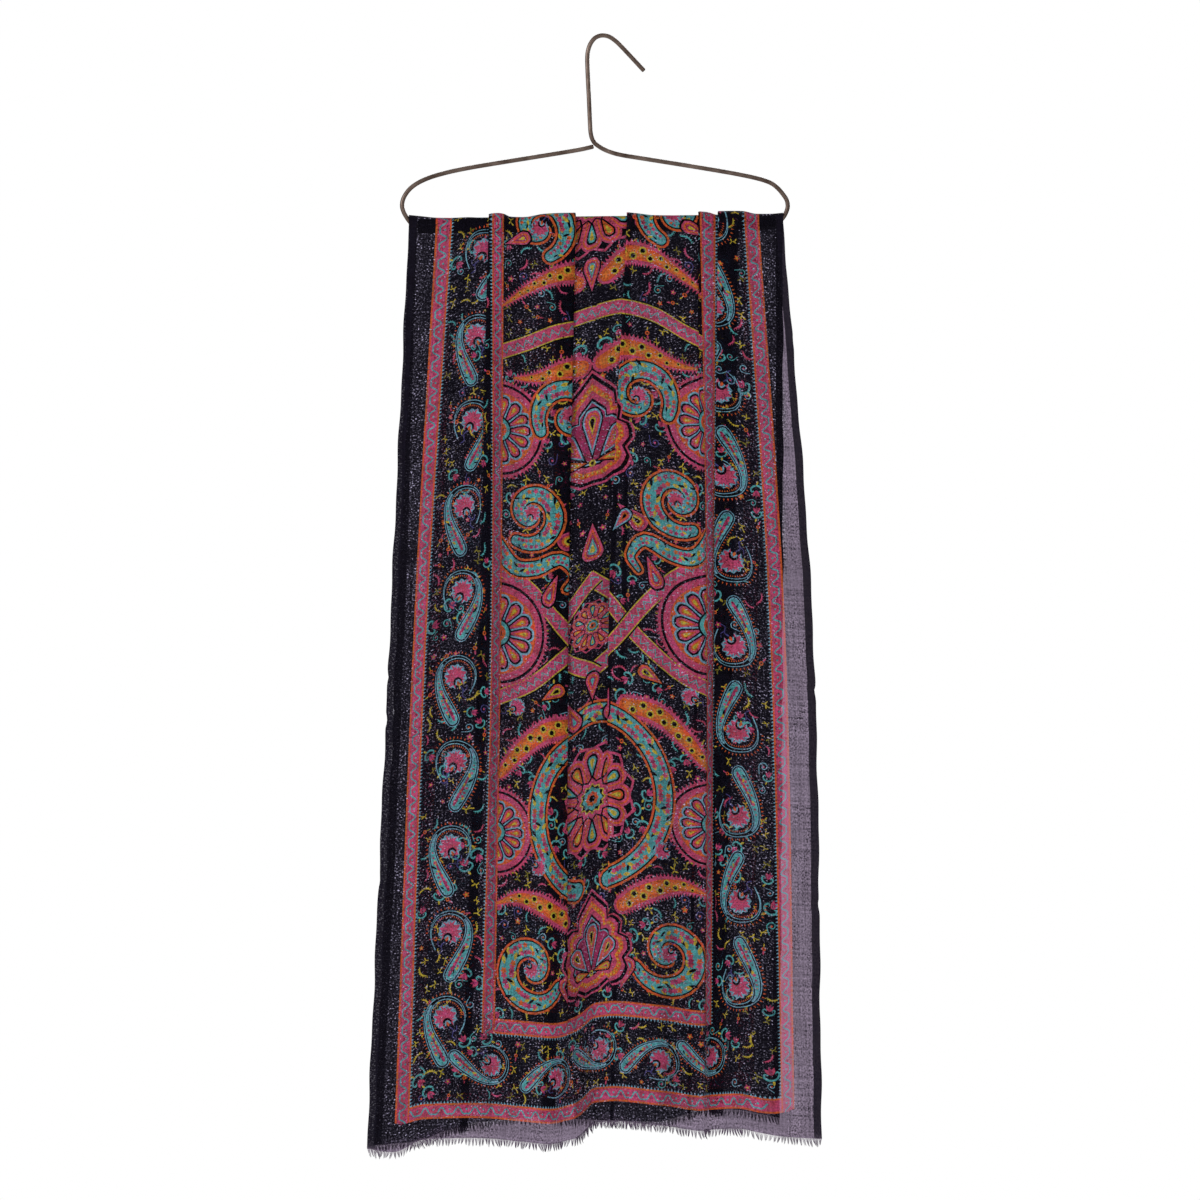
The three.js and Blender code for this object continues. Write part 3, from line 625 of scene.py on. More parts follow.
def side_rosette(pen, y, radius):
    """Half a medallion against the inner strip"""
    middle = np.array([ROSETTE_AXIS, y])
    nested(pen, arc(middle, radius, 90, 270, 20), middle,
           ((1.12, "pink"), (1.06, "black"), (1, "pink"), (0.86, "orange"), (0.76, "pink"), (0.7, "black")))
    ticks(pen, arc(middle, radius * 1.11, 96, 264), 0, -1, 4.2, 3.6, 2.6, "pink")
    for turn in (100, 128, 156, 180, 204, 232, 260):
        rimmed_drop(pen.at(*middle, turn - 90), radius * 0.82, radius * 0.34,
                    "blue black pink orange yellow")
    for size, ink in ((0.3, "black"), (0.26, "teal"), (0.18, "orange"), (0.09, "black")):
        pen.fill(arc(middle, radius * size, 90, 270, 10), ink)


def half_field(pen, rng):
    """One half of the middle panel, with x from its axis outwards and y up from its lower strip"""
    strew(pen, (4, 3), (129, 806), 14, rng)
    ribbon(pen, [(138, 318), (96, 336), (58, 366), (26, 402), (-4, 428)])
    ribbon(pen, [(138, 452), (104, 434), (70, 402), (34, 360), (-4, 330)])
    ribbon(pen, [(136, 664), (104, 676), (70, 690), (34, 694), (-4, 690)])
    for y, radius in ((186, 39), (385, 48), (588, 43)):
        side_rosette(pen, y, radius)
    feather(pen, [(46, 296), (78, 290), (106, 270), (126, 246), (131, 240)], [21, 24, 20, 12, 3], rng)
    feather(pen, [(40, 96), (60, 108), (84, 118), (108, 122), (132, 114)], [19, 23, 21, 13, 3], rng)
    drops(pen, ((34, 500, -128, 44, 21, "black pink rose orange yellow black"),
                (30, 466, -40, 34, 15, "black blue pink orange black")))
    feather(pen, [(10, 640), (36, 652), (62, 652), (92, 642), (118, 640)], [20, 24, 21, 12, 3], rng)
    lined_band(pen, arc((0, 206), 86, -76, 92, 34), 15, rng, (True, False))
    scroll(pen, rng, (90, 52), 38, 7, 205, 420, 32, [8, 16, 17, 15, 11, 8, 5])
    scroll(pen, rng, (98, 506), 32, 6, 300, -420, 32, [9, 15, 16, 13, 10, 7, 4])
    scroll(pen, rng, (60, 606), 34, 7, 330, 400, 30, [10, 15, 15, 13, 9, 6, 4])
    lined_band(pen, smooth([(136, 474), (116, 452), (92, 452), (66, 462), (52, 446), (60, 432)], 4),
               [13, 13, 12, 9, 6, 3], rng)
    feather(pen, [(14, 726), (36, 744), (64, 748), (94, 736), (130, 712)], [18, 22, 21, 13, 3], rng)
    scroll(pen, rng, (92, 792), 30, 6, 250, -400, 30, [9, 14, 14, 12, 9, 6, 4])
    drops(pen, ((132, 772, 70, 34, 16, "black pink orange rose yellow"),
                (30, 318, 160, 40, 20, "black pink orange rose teal"),
                (88, 318, 60, 34, 17, "black orange pink yellow black"),
                (66, 452, -158, 42, 18, "black pink orange rose teal"),
                (36, 8, -20, 40, 19, "black pink orange rose teal yellow")))
    for x, y, turn in ((90, 52, 150), (98, 506, 20), (60, 606, -30), (84, 154, 120), (112, 312, 60),
                       (92, 792, 200)):
        carnation(pen.at(x, y, turn, 0.7))


BOTEH_PITCH = 85
PRINT_BOTTOM = -90


def print_column(page, right, rng):
    """One side column of paisleys on its ground, and half of the ground of the row under the field"""
    half = page.at(CLOTH_WIDTH, 0, flip=True) if right else page
    half.block(COLUMN, 2, INNER_STRIP, PRINT_TOP, "ground")
    strew(half, (COLUMN + 3, ROW_ENDS - 4), (INNER_STRIP - 2, PRINT_TOP - 16), 14.5, rng, 0.85)
    strew(half, (COLUMN + 2, ROW_STARTS + 2), (AXIS, ROW_ENDS - 2), 14, rng, 0.85)
    count, start, turn, first_flip = (10, 38, 180, 0) if right else (11, 15, 0, 1)
    for k in range(count):
        flip = k % 2 == first_flip
        x = (COLUMN + INNER_STRIP) / 2 + (1 if flip else -1)
        boteh(half.at(x, ROW_ENDS + start + k * BOTEH_PITCH, turn, 0.98, flip), rng)


def print_shapes():
    """The whole print of one drop, in painting order, over u and the height t above the outer strip"""
    rng = random.Random(20)
    shapes = []
    page = Pen(shapes)
    page.block(-5, PRINT_BOTTOM, SELVEDGE, PRINT_TOP, "selvedge")
    page.block(CLOTH_WIDTH - SELVEDGE, PRINT_BOTTOM, CLOTH_WIDTH + 5, PRINT_TOP, "selvedge")
    page.block(OUTER_STRIP, 0, CLOTH_WIDTH - OUTER_STRIP, PRINT_TOP + 40, "ground")
    field = page.at(AXIS, FIELD_STARTS)
    state = rng.getstate()
    half_field(field, rng)
    rng.setstate(state)
    half_field(field.at(0, 0, flip=True), rng)
    medallion(field.at(0, 206), 57)
    medallion(field.at(0, 379), 26)
    lotus(field.at(0, 54, 0, 0.84))
    lotus(field.at(0, 566, 0, 0.92))
    drops(field, ((0, 300, 0, 34, 17, "black pink orange rose teal"),
                  (0, 486, 180, 44, 24, "black pink orange rose teal yellow")))
    medallion(field.at(0, 800), 52)
    drops(field, [(0, 708, 0, 40, 20, "black pink orange rose teal yellow")])
    for right in (False, True):
        print_column(page, right, rng)
    row_y = (ROW_STARTS + ROW_ENDS) / 2
    for k, u in enumerate((126, 204, 272, 340, 402)):
        boteh(page.at(u, row_y + (-6 if k % 2 else 4), -74 if k % 2 else -104, 0.9, k % 2 == 0), rng)
    inner, outer = INNER_STRIP + STRIP, OUTER_STRIP + STRIP
    for x, y, turn, length, tooth_side in (
            (inner, ROW_ENDS, 90, PRINT_TOP - ROW_ENDS, 1),
            (CLOTH_WIDTH - INNER_STRIP, ROW_ENDS, 90, PRINT_TOP - ROW_ENDS, -1),
            (inner, ROW_ENDS, 0, CLOTH_WIDTH - 2 * inner, -1),
            (outer, 0, 90, PRINT_TOP, -1),
            (CLOTH_WIDTH - OUTER_STRIP, 0, 90, PRINT_TOP, 1),
            (outer, 0, 0, CLOTH_WIDTH - 2 * outer, 1)):
        strip(page.at(x, y, turn), length, tooth_side)
    return shapes


def gentle_slopes(at, value):
    """Slopes for a smooth curve through points that never overshoots them"""
    steps = np.diff(value) / np.diff(at)
    slopes = [steps[0]]
    for before, after in zip(steps[:-1], steps[1:]):
        slopes.append(0 if before * after <= 0 else 2 * before * after / (before + after))
    slopes.append(steps[-1])
    return np.array(slopes)


def hermite(a, b, slope_a, slope_b, width, t):
    return ((2 * t ** 3 - 3 * t ** 2 + 1) * a + (t ** 3 - 2 * t ** 2 + t) * width * slope_a
            + (3 * t ** 2 - 2 * t ** 3) * b + (t ** 3 - t ** 2) * width * slope_b)


def curve_at(at, value, places):
    """Values at places on the smooth curve through (at, value)"""
    at, value = np.array(at, float), np.array(value, float)
    slopes = gentle_slopes(at, value)
    i = np.clip(np.searchsorted(at, places, side="right") - 1, 0, len(at) - 2)
    width = at[i + 1] - at[i]
    t = np.clip((places - at[i]) / width, 0, 1)
    return hermite(value[i], value[i + 1], slopes[i], slopes[i + 1], width, t)


def hem_drop(side, u):
    return curve_at(*zip(*HEMS[side]), u)


def back_place(bar_x, edges):
    left, right = FOLDS[0].x[0], FOLDS[-1].x[0]
    return edges[0] + (bar_x - left) / (right - left) * (edges[1] - edges[0])


def fold_levels(fold, side):
    """A fold's (u, x, depth, lap) at the bar, mid height and the hem of one drop"""
    levels = []
    for level, edges in enumerate((None, BACK_MID_EDGES, BACK_HEM_EDGES)):
        on_back = side == "back" and level > 0
        u = fold.u if np.isscalar(fold.u) else fold.u[0 if on_back else level]
        x, depth, lap = fold.x[level], fold.depth[level], fold.lap[level]
        if on_back:
            x, depth, lap = back_place(fold.x[0], edges), fold.back[level - 1], fold.back_lap[level - 1]
        levels.append((u, x, depth, -OPEN_PLEAT_SPREAD if fold.over and lap == 0 else lap))
    return np.array(levels, float)


def blend_levels(levels, share):
    """Blends a fold's three levels down the drop"""
    bar, mid, hem = levels
    upper = (mid - bar) / MID_SHARE
    lower = (hem - mid) / (1 - MID_SHARE)
    middle = upper + (lower - upper) * MID_SHARE
    if share <= MID_SHARE:
        return hermite(bar, mid, upper, middle, MID_SHARE, share / MID_SHARE)
    rest = 1 - MID_SHARE
    return hermite(mid, hem, middle, lower, rest, (share - MID_SHARE) / rest)


def pleat_corners(over, place):
    """The five corners of a pleat, as rows of u, x, depth"""
    u, x, depth, lap = place
    s = OPEN_PLEAT_SPREAD
    hidden = max(lap, 0)
    opened = max(-lap, 0) / s
    corners = [(-hidden - 3, -1, 0, -1.6 * s), (-2, hidden, 0, -s), (-0.7, hidden, 0.75, -s / 3),
               (hidden + 0.7, 0, 1.25, s / 3), (hidden + 2, 0, 2, s)]
    rows = [(across + (wide - across) * opened, along + (wide - along) * opened,
             depth + rise * LAYER_PITCH * (1 - opened)) for across, along, rise, wide in corners]
    way = 1 if over == "right" else -1
    rows = rows if over == "right" else rows[::-1]
    return [(u + way * across, x + way * along, d) for across, along, d in rows]


def section(side, share, places):
    """x and depth of one section at the given u, and where its pleats' corners are"""
    points, sharp = [], []
    for fold in FOLDS:
        place = blend_levels(fold_levels(fold, side), share)
        if fold.over:
            points += pleat_corners(fold.over, place)
            sharp += [True] * 5
        else:
            points.append(tuple(place[:3]))
            sharp.append(False)
    at, x, depth = np.array(points).T
    found = np.empty((2, len(places)))
    ends = [0] + [i for i, flag in enumerate(sharp) if flag] + [len(at) - 1]
    for a, b in zip(ends[:-1], ends[1:]):
        between = (places >= at[a]) & (places <= at[b])
        for row, values in zip(found, (x, depth)):
            row[between] = curve_at(at[a:b + 1], values[a:b + 1], places[between])
    return *found, at[np.array(sharp)]


GRID_STEP = 0.5
GRID_ROWS = 181
GRID_SPACING = 8
SOFTNESS = 2
CREASE_WANDER = 1.5
SETTLED_BY = 0.03
EDGE_REACH = 11
NOTCH_LENGTH = 0.005


def softened(grid):
    """Rounds the sharp corners of the sections by a short running mean"""
    kernel = np.ones(2 * SOFTNESS + 1) / (2 * SOFTNESS + 1)
    padded = np.pad(grid, ((0, 0), (SOFTNESS, SOFTNESS)), mode="reflect", reflect_type="odd")
    return np.array([np.convolve(row, kernel, mode="valid") for row in padded])


class Drape:
    """Takes a place on the flat cloth to its place on the hanging cloth"""

    def __init__(self, side):
        self.side = side
        self.facing = -1 if side == "front" else 1
        self.places = np.arange(0, CLOTH_WIDTH + GRID_STEP / 2, GRID_STEP)
        self.shares = np.linspace(0, 1, GRID_ROWS)
        x, depth, lines = zip(*[section(side, share, self.places) for share in self.shares])
        self.lines = np.array(lines)
        self.depth = softened(np.array(depth)) + self.creases()
        self.x = softened(np.array(x)) + self.uneven_edges()

    def creases(self):
        """Depth added by the soft creases and by the one across the cloth"""
        u, share = np.meshgrid(self.places, self.shares)
        total = np.zeros_like(u)
        for u0, s0, u1, s1, width, depth in CREASES[self.side]:
            along = np.clip((share - s0) / (s1 - s0), 0, 1)
            fade = np.sin(math.pi * along) ** 0.7
            if s1 >= 0.99:
                fade = np.where(along > 0.5, 1, fade)
            centre = u0 + (u1 - u0) * along + CREASE_WANDER * np.sin(along * 7 + u0)
            total += depth * fade * np.exp(-((u - centre) / width) ** 2)
        line = curve_at(*zip(*PRESSED_LINE), self.places)
        off = (share - line) * hem_drop(self.side, self.places)
        ragged = PRESSED_DEPTH * (0.75 + 0.25 * np.sin(self.places * 0.11 + 1))
        total += ragged * np.exp(-(off / PRESSED_WIDTH) ** 2) * np.sign(off + 0.01) * 0.6
        total += ragged * np.exp(-(off / (2.5 * PRESSED_WIDTH)) ** 2)
        return total * np.clip(share / SETTLED_BY, 0, 1)

    def uneven_edges(self):
        """Small waves and notches that run along the two selvedges"""
        down = np.linspace(0, 1, GRID_ROWS)[:, None]
        total = np.zeros((GRID_ROWS, len(self.places)))
        for k, (edge, inwards) in enumerate(((0, 1), (CLOTH_WIDTH, -1))):
            wave = 0.5 * np.sin(down * 47 + 2 * k) + 0.35 * np.sin(down * 101 + k)
            for share, depth in EDGE_NOTCHES[self.side][k]:
                wave = wave + inwards * depth * np.exp(-((down - share) / NOTCH_LENGTH) ** 2)
            total += wave * np.exp(-np.abs(self.places - edge) / EDGE_REACH)
        return total * np.clip(down / 0.05, 0, 1)

    def sample(self, grid, u, share):
        """Blends the four nearest values of a grid"""
        i = np.clip(share * (GRID_ROWS - 1), 0, GRID_ROWS - 1.001)
        j = np.clip(u / GRID_STEP, 0, len(self.places) - 1.001)
        i0, j0 = i.astype(int), j.astype(int)
        a, b = i - i0, j - j0
        return ((1 - a) * ((1 - b) * grid[i0, j0] + b * grid[i0, j0 + 1])
                + a * ((1 - b) * grid[i0 + 1, j0] + b * grid[i0 + 1, j0 + 1]))

    def place(self, u, h):
        """Points in metres for places u across and h above the hem"""
        drop = hem_drop(self.side, u)
        share = np.clip((drop - h) / drop, 0, 1.2)
        turn = np.clip((h - drop) / BAR_REACH, 0, 1) * math.pi / 2
        x, depth = [self.sample(grid, u, np.minimum(share, 1)) for grid in (self.x, self.depth)]
        slope = (BAR_RIGHT[2] - BAR_LEFT[2]) / (BAR_RIGHT[0] - BAR_LEFT[0])
        bar_z = BAR_LEFT[2] + (x - BAR_LEFT[0]) * slope
        z = bar_z + depth * np.sin(turn) - drop * share
        return np.column_stack([x, self.facing * depth * np.cos(turn), z]) * MM


def bow(u):
    """Height of the outer strip's lower edge above the hem"""
    edge = np.minimum(u, CLOTH_WIDTH - u)
    return HEM_MARGIN + HEM_BOW * np.clip(1 - edge / BOW_REACH, 0, 1) ** 1.5


def inside(points, outline):
    """Which points lie in an outline, counting its windings"""
    x0, y0 = outline[:, 0], outline[:, 1]
    x1, y1 = np.roll(x0, -1), np.roll(y0, -1)
    px, py = points[:, 0:1], points[:, 1:2]
    side = (x1 - x0) * (py - y0) - (px - x0) * (y1 - y0)
    rising = (y0 <= py) & (y1 > py) & (side > 0)
    falling = (y0 > py) & (y1 <= py) & (side < 0)
    return rising.sum(1) - falling.sum(1) != 0


LONGEST_EDGE = 6.0
FLATNESS = 0.26
STRAIGHTENINGS = 6
MERGE_WITHIN = 0.02
BORDER_STEP = 4.0
BORDER_ROWS = 240
ROWS_PER_LINE = 3
ROLL_LINES = 4


def cut(verts, edges):
    """Triangles of a flat sheet with the edges in it"""
    points, _, faces, _, _, _ = delaunay_2d_cdt([Vector(v) for v in verts], edges, [], 0, MERGE_WITHIN)
    return np.array([tuple(p) for p in points]), np.array([f for f in faces if len(f) == 3])


def inks_at(places, shapes):
    """Which ink lies on top at each place"""
    order = np.argsort(places[:, 1])
    heights = places[order, 1]
    names = list(INKS)
    ink_of = np.zeros(len(places), int)
    for outline, ink in shapes:
        lo, hi = outline.min(axis=0), outline.max(axis=0)
        picked = order[np.searchsorted(heights, lo[1]):np.searchsorted(heights, hi[1])]
        picked = picked[(places[picked, 0] > lo[0]) & (places[picked, 0] < hi[0])]
        if len(picked):
            ink_of[picked[inside(places[picked], outline)]] = names.index(ink)
    return ink_of


def lines_between_inks(points, faces, ink_of):
    """Each point's neighbours along the lines that part two inks"""
    pairs = np.sort(faces[:, [0, 1, 1, 2, 2, 0]].reshape(-1, 2), axis=1)
    owners = np.repeat(np.arange(len(faces)), 3)
    order = np.lexsort((pairs[:, 1], pairs[:, 0]))
    pairs, owners = pairs[order], owners[order]
    twins = np.flatnonzero((pairs[1:] == pairs[:-1]).all(axis=1))
    parted = ink_of[owners[twins]] != ink_of[owners[twins + 1]]
    joined = {}
    for a, b in pairs[twins[parted]].tolist():
        joined.setdefault(a, set()).add(b)
        joined.setdefault(b, set()).add(a)
    return joined


def straightened(points, joined):
    """Leaves out points where a line is all but straight, and never two in a row"""
    x, y = points.T.tolist()
    kept = set()
    for v in list(joined):
        if v in kept or len(joined[v]) != 2:
            continue
        a, b = joined[v]
        across, up = x[b] - x[a], y[b] - y[a]
        length = math.hypot(across, up)
        off = abs(across * (y[v] - y[a]) - up * (x[v] - x[a]))
        if length < LONGEST_EDGE and off < FLATNESS * length and b not in joined[a]:
            joined[a] = joined[a] - {v} | {b}
            joined[b] = joined[b] - {v} | {a}
            del joined[v]
            kept |= {a, b}


def seen_outlines(shapes):
    """The lines that show once every shape is painted, as points and pairs of them"""
    verts, edges = [], []
    for outline, _ in shapes:
        first, count = len(verts), len(outline)
        verts.extend(map(tuple, outline))
        edges.extend((first + k, first + (k + 1) % count) for k in range(count))
    points, faces = cut(verts, edges)
    joined = lines_between_inks(points, faces, inks_at(points[faces].mean(axis=1), shapes))
    for _ in range(STRAIGHTENINGS):
        straightened(points, joined)
    place_of = {v: k for k, v in enumerate(joined)}
    pairs = [(place_of[a], place_of[b]) for a in joined for b in joined[a] if a < b]
    return points[list(joined)], pairs


def painted_sheet(side, shapes, outlines, drape):
    """Cuts the flat cloth along the print's outlines and fold lines, and colours each cut face"""
    verts, edges = [], []

    def add_line(points, closed=False):
        first, count = len(verts), len(points)
        verts.extend(map(tuple, points))
        edges.extend((first + k, first + k + 1) for k in range(count - 1))
        if closed:
            edges.append((first + count - 1, first))

    def level(u, h):
        return np.column_stack([u, h - bow(u)])

    places = np.arange(0, CLOTH_WIDTH + 1, BORDER_STEP)
    drops = hem_drop(side, places)
    bottom, top = level(places, 0), level(places, drops + BAR_REACH)
    heights = np.arange(1, BORDER_ROWS)[:, None] / BORDER_ROWS
    left = bottom[0] + heights * (top[0] - bottom[0])
    right = bottom[-1] + heights * (top[-1] - bottom[-1])
    add_line(np.vstack([bottom, right, top[::-1], left[::-1]]), True)

    rows = np.arange(0, GRID_ROWS, ROWS_PER_LINE)
    for u in drape.lines[rows].T:
        add_line(level(u, hem_drop(side, u) * (1 - drape.shares[rows])))
    for along in np.arange(ROLL_LINES) / ROLL_LINES:
        add_line(level(places, drops + BAR_REACH * along))
    for i, u in enumerate(np.arange(GRID_SPACING / 2, CLOTH_WIDTH, GRID_SPACING)):
        drop, low = float(hem_drop(side, np.array([u]))[0]), -float(bow(u))
        for t in np.arange(low + (1 + i % 2) * GRID_SPACING / 2, low + drop, GRID_SPACING * 1.15):
            verts.append((u, t))
    points, pairs = outlines
    first = len(verts)
    verts.extend(map(tuple, points))
    for a, b in pairs:
        parts = math.ceil(float(np.linalg.norm(points[b] - points[a])) / LONGEST_EDGE)
        chain = [first + a, *range(len(verts), len(verts) + parts - 1), first + b]
        verts.extend(tuple(points[a] + (points[b] - points[a]) * k / parts) for k in range(1, parts))
        edges.extend(zip(chain[:-1], chain[1:]))

    points, faces = cut(verts, edges)
    faces = faces[inside_border(points[faces].mean(axis=1), side)]
    used = np.unique(faces)
    renumber = np.zeros(len(points), int)
    renumber[used] = np.arange(len(used))
    return points[used], renumber[faces], inks_at(points[faces].mean(axis=1), shapes)


def inside_border(centres, side):
    """Which places lie on the cut cloth"""
    u, t = centres.T
    h = t + bow(u)
    top = hem_drop(side, np.clip(u, 0, CLOTH_WIDTH)) + BAR_REACH
    return (u > 0) & (u < CLOTH_WIDTH) & (h > 0) & (h < top)


def linked(obj):
    bpy.context.scene.collection.objects.link(obj)
    return obj


def new_mesh(name, points, faces):
    """An object with a smooth mesh of faces that all have as many sides"""
    mesh = bpy.data.meshes.new(name)
    mesh.vertices.add(len(points))
    mesh.vertices.foreach_set("co", np.asarray(points, np.float32).ravel())
    faces = np.asarray(faces, np.int32)
    sides = faces.shape[1]
    mesh.loops.add(faces.size)
    mesh.loops.foreach_set("vertex_index", faces.ravel())
    mesh.polygons.add(len(faces))
    mesh.polygons.foreach_set("loop_start", np.arange(0, faces.size, sides, dtype=np.int32))
    mesh.polygons.foreach_set("use_smooth", np.full(len(faces), True))
    mesh.update(calc_edges=True)
    mesh.validate()
    return linked(bpy.data.objects.new(name, mesh))


EDGE_BLEND = 4


def layers_cross(side, points, u, h):
    """1 where the other drop lies behind this one, 0 where only this layer shows"""
    if side == "back":
        return np.ones(len(u))
    drop = hem_drop("front", u)
    share = np.clip((drop - h) / drop, 0, 1)
    edges = [FOLDS[-1].x[0], BACK_MID_EDGES[1], BACK_HEM_EDGES[1]]
    edge = np.interp(share, [0, MID_SHARE, 1], edges)
    beside = np.clip((edge - points[:, 0]) / EDGE_BLEND, 0, 1)
    above = np.clip((hem_drop("back", u) - drop + h) / EDGE_BLEND, 0, 1)
    return beside * above


WORN_HEM = 5
WORN_THINNER = 0.05


def placed(obj, material, node):
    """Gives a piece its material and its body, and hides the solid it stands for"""
    obj.data.materials.append(material)
    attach(obj, "root")
    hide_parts(node)
    return obj


def make_cloth(side, shapes, outlines, drape, material):
    """One drop of the scarf as a thin printed sheet"""
    flat, faces, ink_of = painted_sheet(side, shapes, outlines, drape)
    u, t = np.clip(flat[:, 0], 0, CLOTH_WIDTH), flat[:, 1]
    h = t + bow(u)
    points = drape.place(u, h)
    obj = new_mesh(f"{side}_cloth", points, faces[:, ::-1] if side == "back" else faces)
    mesh = obj.data
    corners = np.empty(len(mesh.loops), np.int32)
    mesh.loops.foreach_get("vertex_index", corners)
    uv = mesh.uv_layers.new(name="flat")
    uv.data.foreach_set("uv", (np.column_stack([u, h])[corners] * MM).astype(np.float32).ravel())
    colours = np.repeat(np.array(list(INKS.values()), np.float32)[ink_of], 3, axis=0)
    colours[:, 3] -= WORN_THINNER * (1 - np.clip(h[corners] / WORN_HEM, 0, 1))
    attribute = mesh.color_attributes.new("print", "FLOAT_COLOR", "CORNER")
    attribute.data.foreach_set("color", colours.ravel())
    crossing = mesh.attributes.new("crossing", "FLOAT", "POINT")
    crossing.data.foreach_set("value", layers_cross(side, points / MM, u, h).astype(np.float32))
    return placed(obj, material, f"{side}_drop")


class Nodes:
    """Short ways to add nodes to a new material"""

    def __init__(self, name):
        self.material = bpy.data.materials.new(name)
        self.material.use_nodes = True
        self.tree = self.material.node_tree
        self.shader = self.tree.nodes["Principled BSDF"]

    def feed(self, node, values):
        """Sets a node's inputs, or links them to other nodes' outputs"""
        for key, value in values.items():
            if isinstance(value, bpy.types.NodeSocket):
                self.tree.links.new(value, node.inputs[key])
            else:
                node.inputs[key].default_value = value
        return node

    def node(self, kind, values=None, **settings):
        made = self.tree.nodes.new("ShaderNode" + kind)
        for key, value in settings.items():
            setattr(made, key, value)
        return self.feed(made, values or {})

    def look(self, **values):
        """Sets or links inputs of the material's own shader"""
        self.feed(self.shader, {key.replace("_", " "): value for key, value in values.items()})

    def math(self, operation, a, b, clamp=False):
        return self.node("Math", {0: a, 1: b}, operation=operation, use_clamp=clamp).outputs[0]

    def add(self, a, b):
        return self.math("ADD", a, b)

    def less(self, a, b):
        return self.math("SUBTRACT", a, b)

    def times(self, a, b, clamp=False):
        return self.math("MULTIPLY", a, b, clamp)

    def object_place(self):
        return self.node("TexCoord").outputs["Object"]

    def noise(self, vector, scale, stretch, detail, roughness):
        stretched = self.node("Mapping", {"Scale": stretch, "Vector": vector}).outputs[0]
        values = {"Scale": scale, "Detail": detail, "Roughness": roughness, "Vector": stretched}
        return self.node("TexNoise", values).outputs["Fac"]

    def base_ramp(self, factor, low, high, places=(0, 1)):
        """Base colour that runs from low to high as the factor does"""
        made = self.node("ValToRGB", {0: factor})
        for element, colour, place in zip(made.color_ramp.elements, (low, high), places):
            element.position = place
            element.color = (*colour, 1)
        self.look(Base_Color=made.outputs[0])

    def tinted(self, colour, factor):
        """A colour made lighter or darker by a factor"""
        grey = self.node("CombineColor", {k: factor for k in range(3)}).outputs[0]
        values = {"Factor": 1, "A": colour, "B": grey}
        return self.node("Mix", values, data_type="RGBA", blend_type="MULTIPLY").outputs["Result"]

    def bump(self, height, strength, distance):
        values = {"Strength": strength, "Distance": distance, "Height": height}
        self.look(Normal=self.node("Bump", values).outputs[0])


# Noises of the gauze over its flat places, with their scale, stretch, detail and roughness
GAUZE_NOISES = {
    "fine": (640, (1.0, 0.75, 1), 2.0, 0.6),
    "clump": (46, (1.0, 0.45, 1), 3.0, 0.6),
    "warp": (430, (1.0, 0.03, 1), 2.0, 0.5),
    "weft": (430, (0.03, 1.0, 1), 2.0, 0.5),
    "speck": (600, (0.8, 1.0, 1), 1.0, 0.5),
    "pool": (95, (1, 1, 1), 3.0, 0.6),
}
ONE_LAYER_TINT = (0.92, 0.73, 1.0, 1)
TWO_LAYER_TINT = (0.88, 0.84, 1.0, 1)
LEAST_COVER = 0.03


def gauze_material():
    """Open plain weave printed on its face: uneven yarn, small gaps and a faint grid of thicker threads"""
    m = Nodes("gauze")
    uv = m.node("UVMap", uv_map="flat").outputs[0]
    ink = m.node("Attribute", attribute_name="print").outputs
    crossing = m.node("Attribute", attribute_name="crossing").outputs["Fac"]
    noise = {name: m.noise(uv, *row) for name, row in GAUZE_NOISES.items()}
    grain = m.less(noise["fine"], 0.5)
    grid = m.less(m.times(m.add(noise["warp"], noise["weft"]), 0.5), 0.5)
    strength = m.add(m.times(noise["clump"], 13.0), -3.0)
    swing = m.add(m.times(grain, strength), m.times(grid, 2.6))
    openness = m.less(1.0, ink["Alpha"])
    cover = m.add(ink["Alpha"], m.times(swing, openness))
    flecked = m.times(crossing, m.times(openness, 7.0, True))
    level = m.less(0.67, m.times(noise["clump"], 0.24))
    hole = m.times(m.less(noise["speck"], level), 9.0, True)
    closing = m.less(0.11, m.times(hole, 0.72))
    cover = m.add(cover, m.times(closing, flecked))
    weave = m.add(grain, grid)
    pool = m.less(noise["pool"], 0.5)
    dyed = m.node("HueSaturation", {
        "Hue": m.add(m.times(pool, 0.07), 0.5),
        "Value": m.add(m.times(pool, -1.1), 1.0),
        "Color": m.tinted(ink["Color"], m.add(m.times(weave, 1.6), 1.0)),
    })
    m.look(Base_Color=dyed.outputs[0], Roughness=0.9, Sheen_Weight=0.02, Sheen_Roughness=0.5,
           Specular_IOR_Level=0.05)
    m.bump(weave, 0.35, 0.0004)
    values = {"A": ONE_LAYER_TINT, "B": TWO_LAYER_TINT, "Factor": crossing}
    seen_through = m.node("Mix", values, data_type="RGBA").outputs["Result"]
    gaps = m.node("BsdfTransparent", {"Color": seen_through}).outputs[0]
    share = m.math("MAXIMUM", cover, LEAST_COVER, True)
    mix = m.node("MixShader", {"Fac": share, 1: gaps, 2: m.shader.outputs[0]}).outputs[0]
    m.feed(m.tree.nodes["Material Output"], {"Surface": mix})
    return m.material


def thread_material():
    """Warp ends, mauve with darker tips"""
    m = Nodes("warp_ends")
    ink = m.node("Attribute", attribute_name="thread").outputs["Color"]
    fuzz = m.noise(m.object_place(), 1500, (1, 1, 0.3), 2.0, 0.5)
    m.look(Base_Color=m.tinted(ink, m.add(m.times(fuzz, 0.8), 0.6)), Roughness=0.9, Sheen_Weight=0.2,
           Specular_IOR_Level=0.15)
    m.bump(fuzz, 0.3, 0.0002)
    return m.material


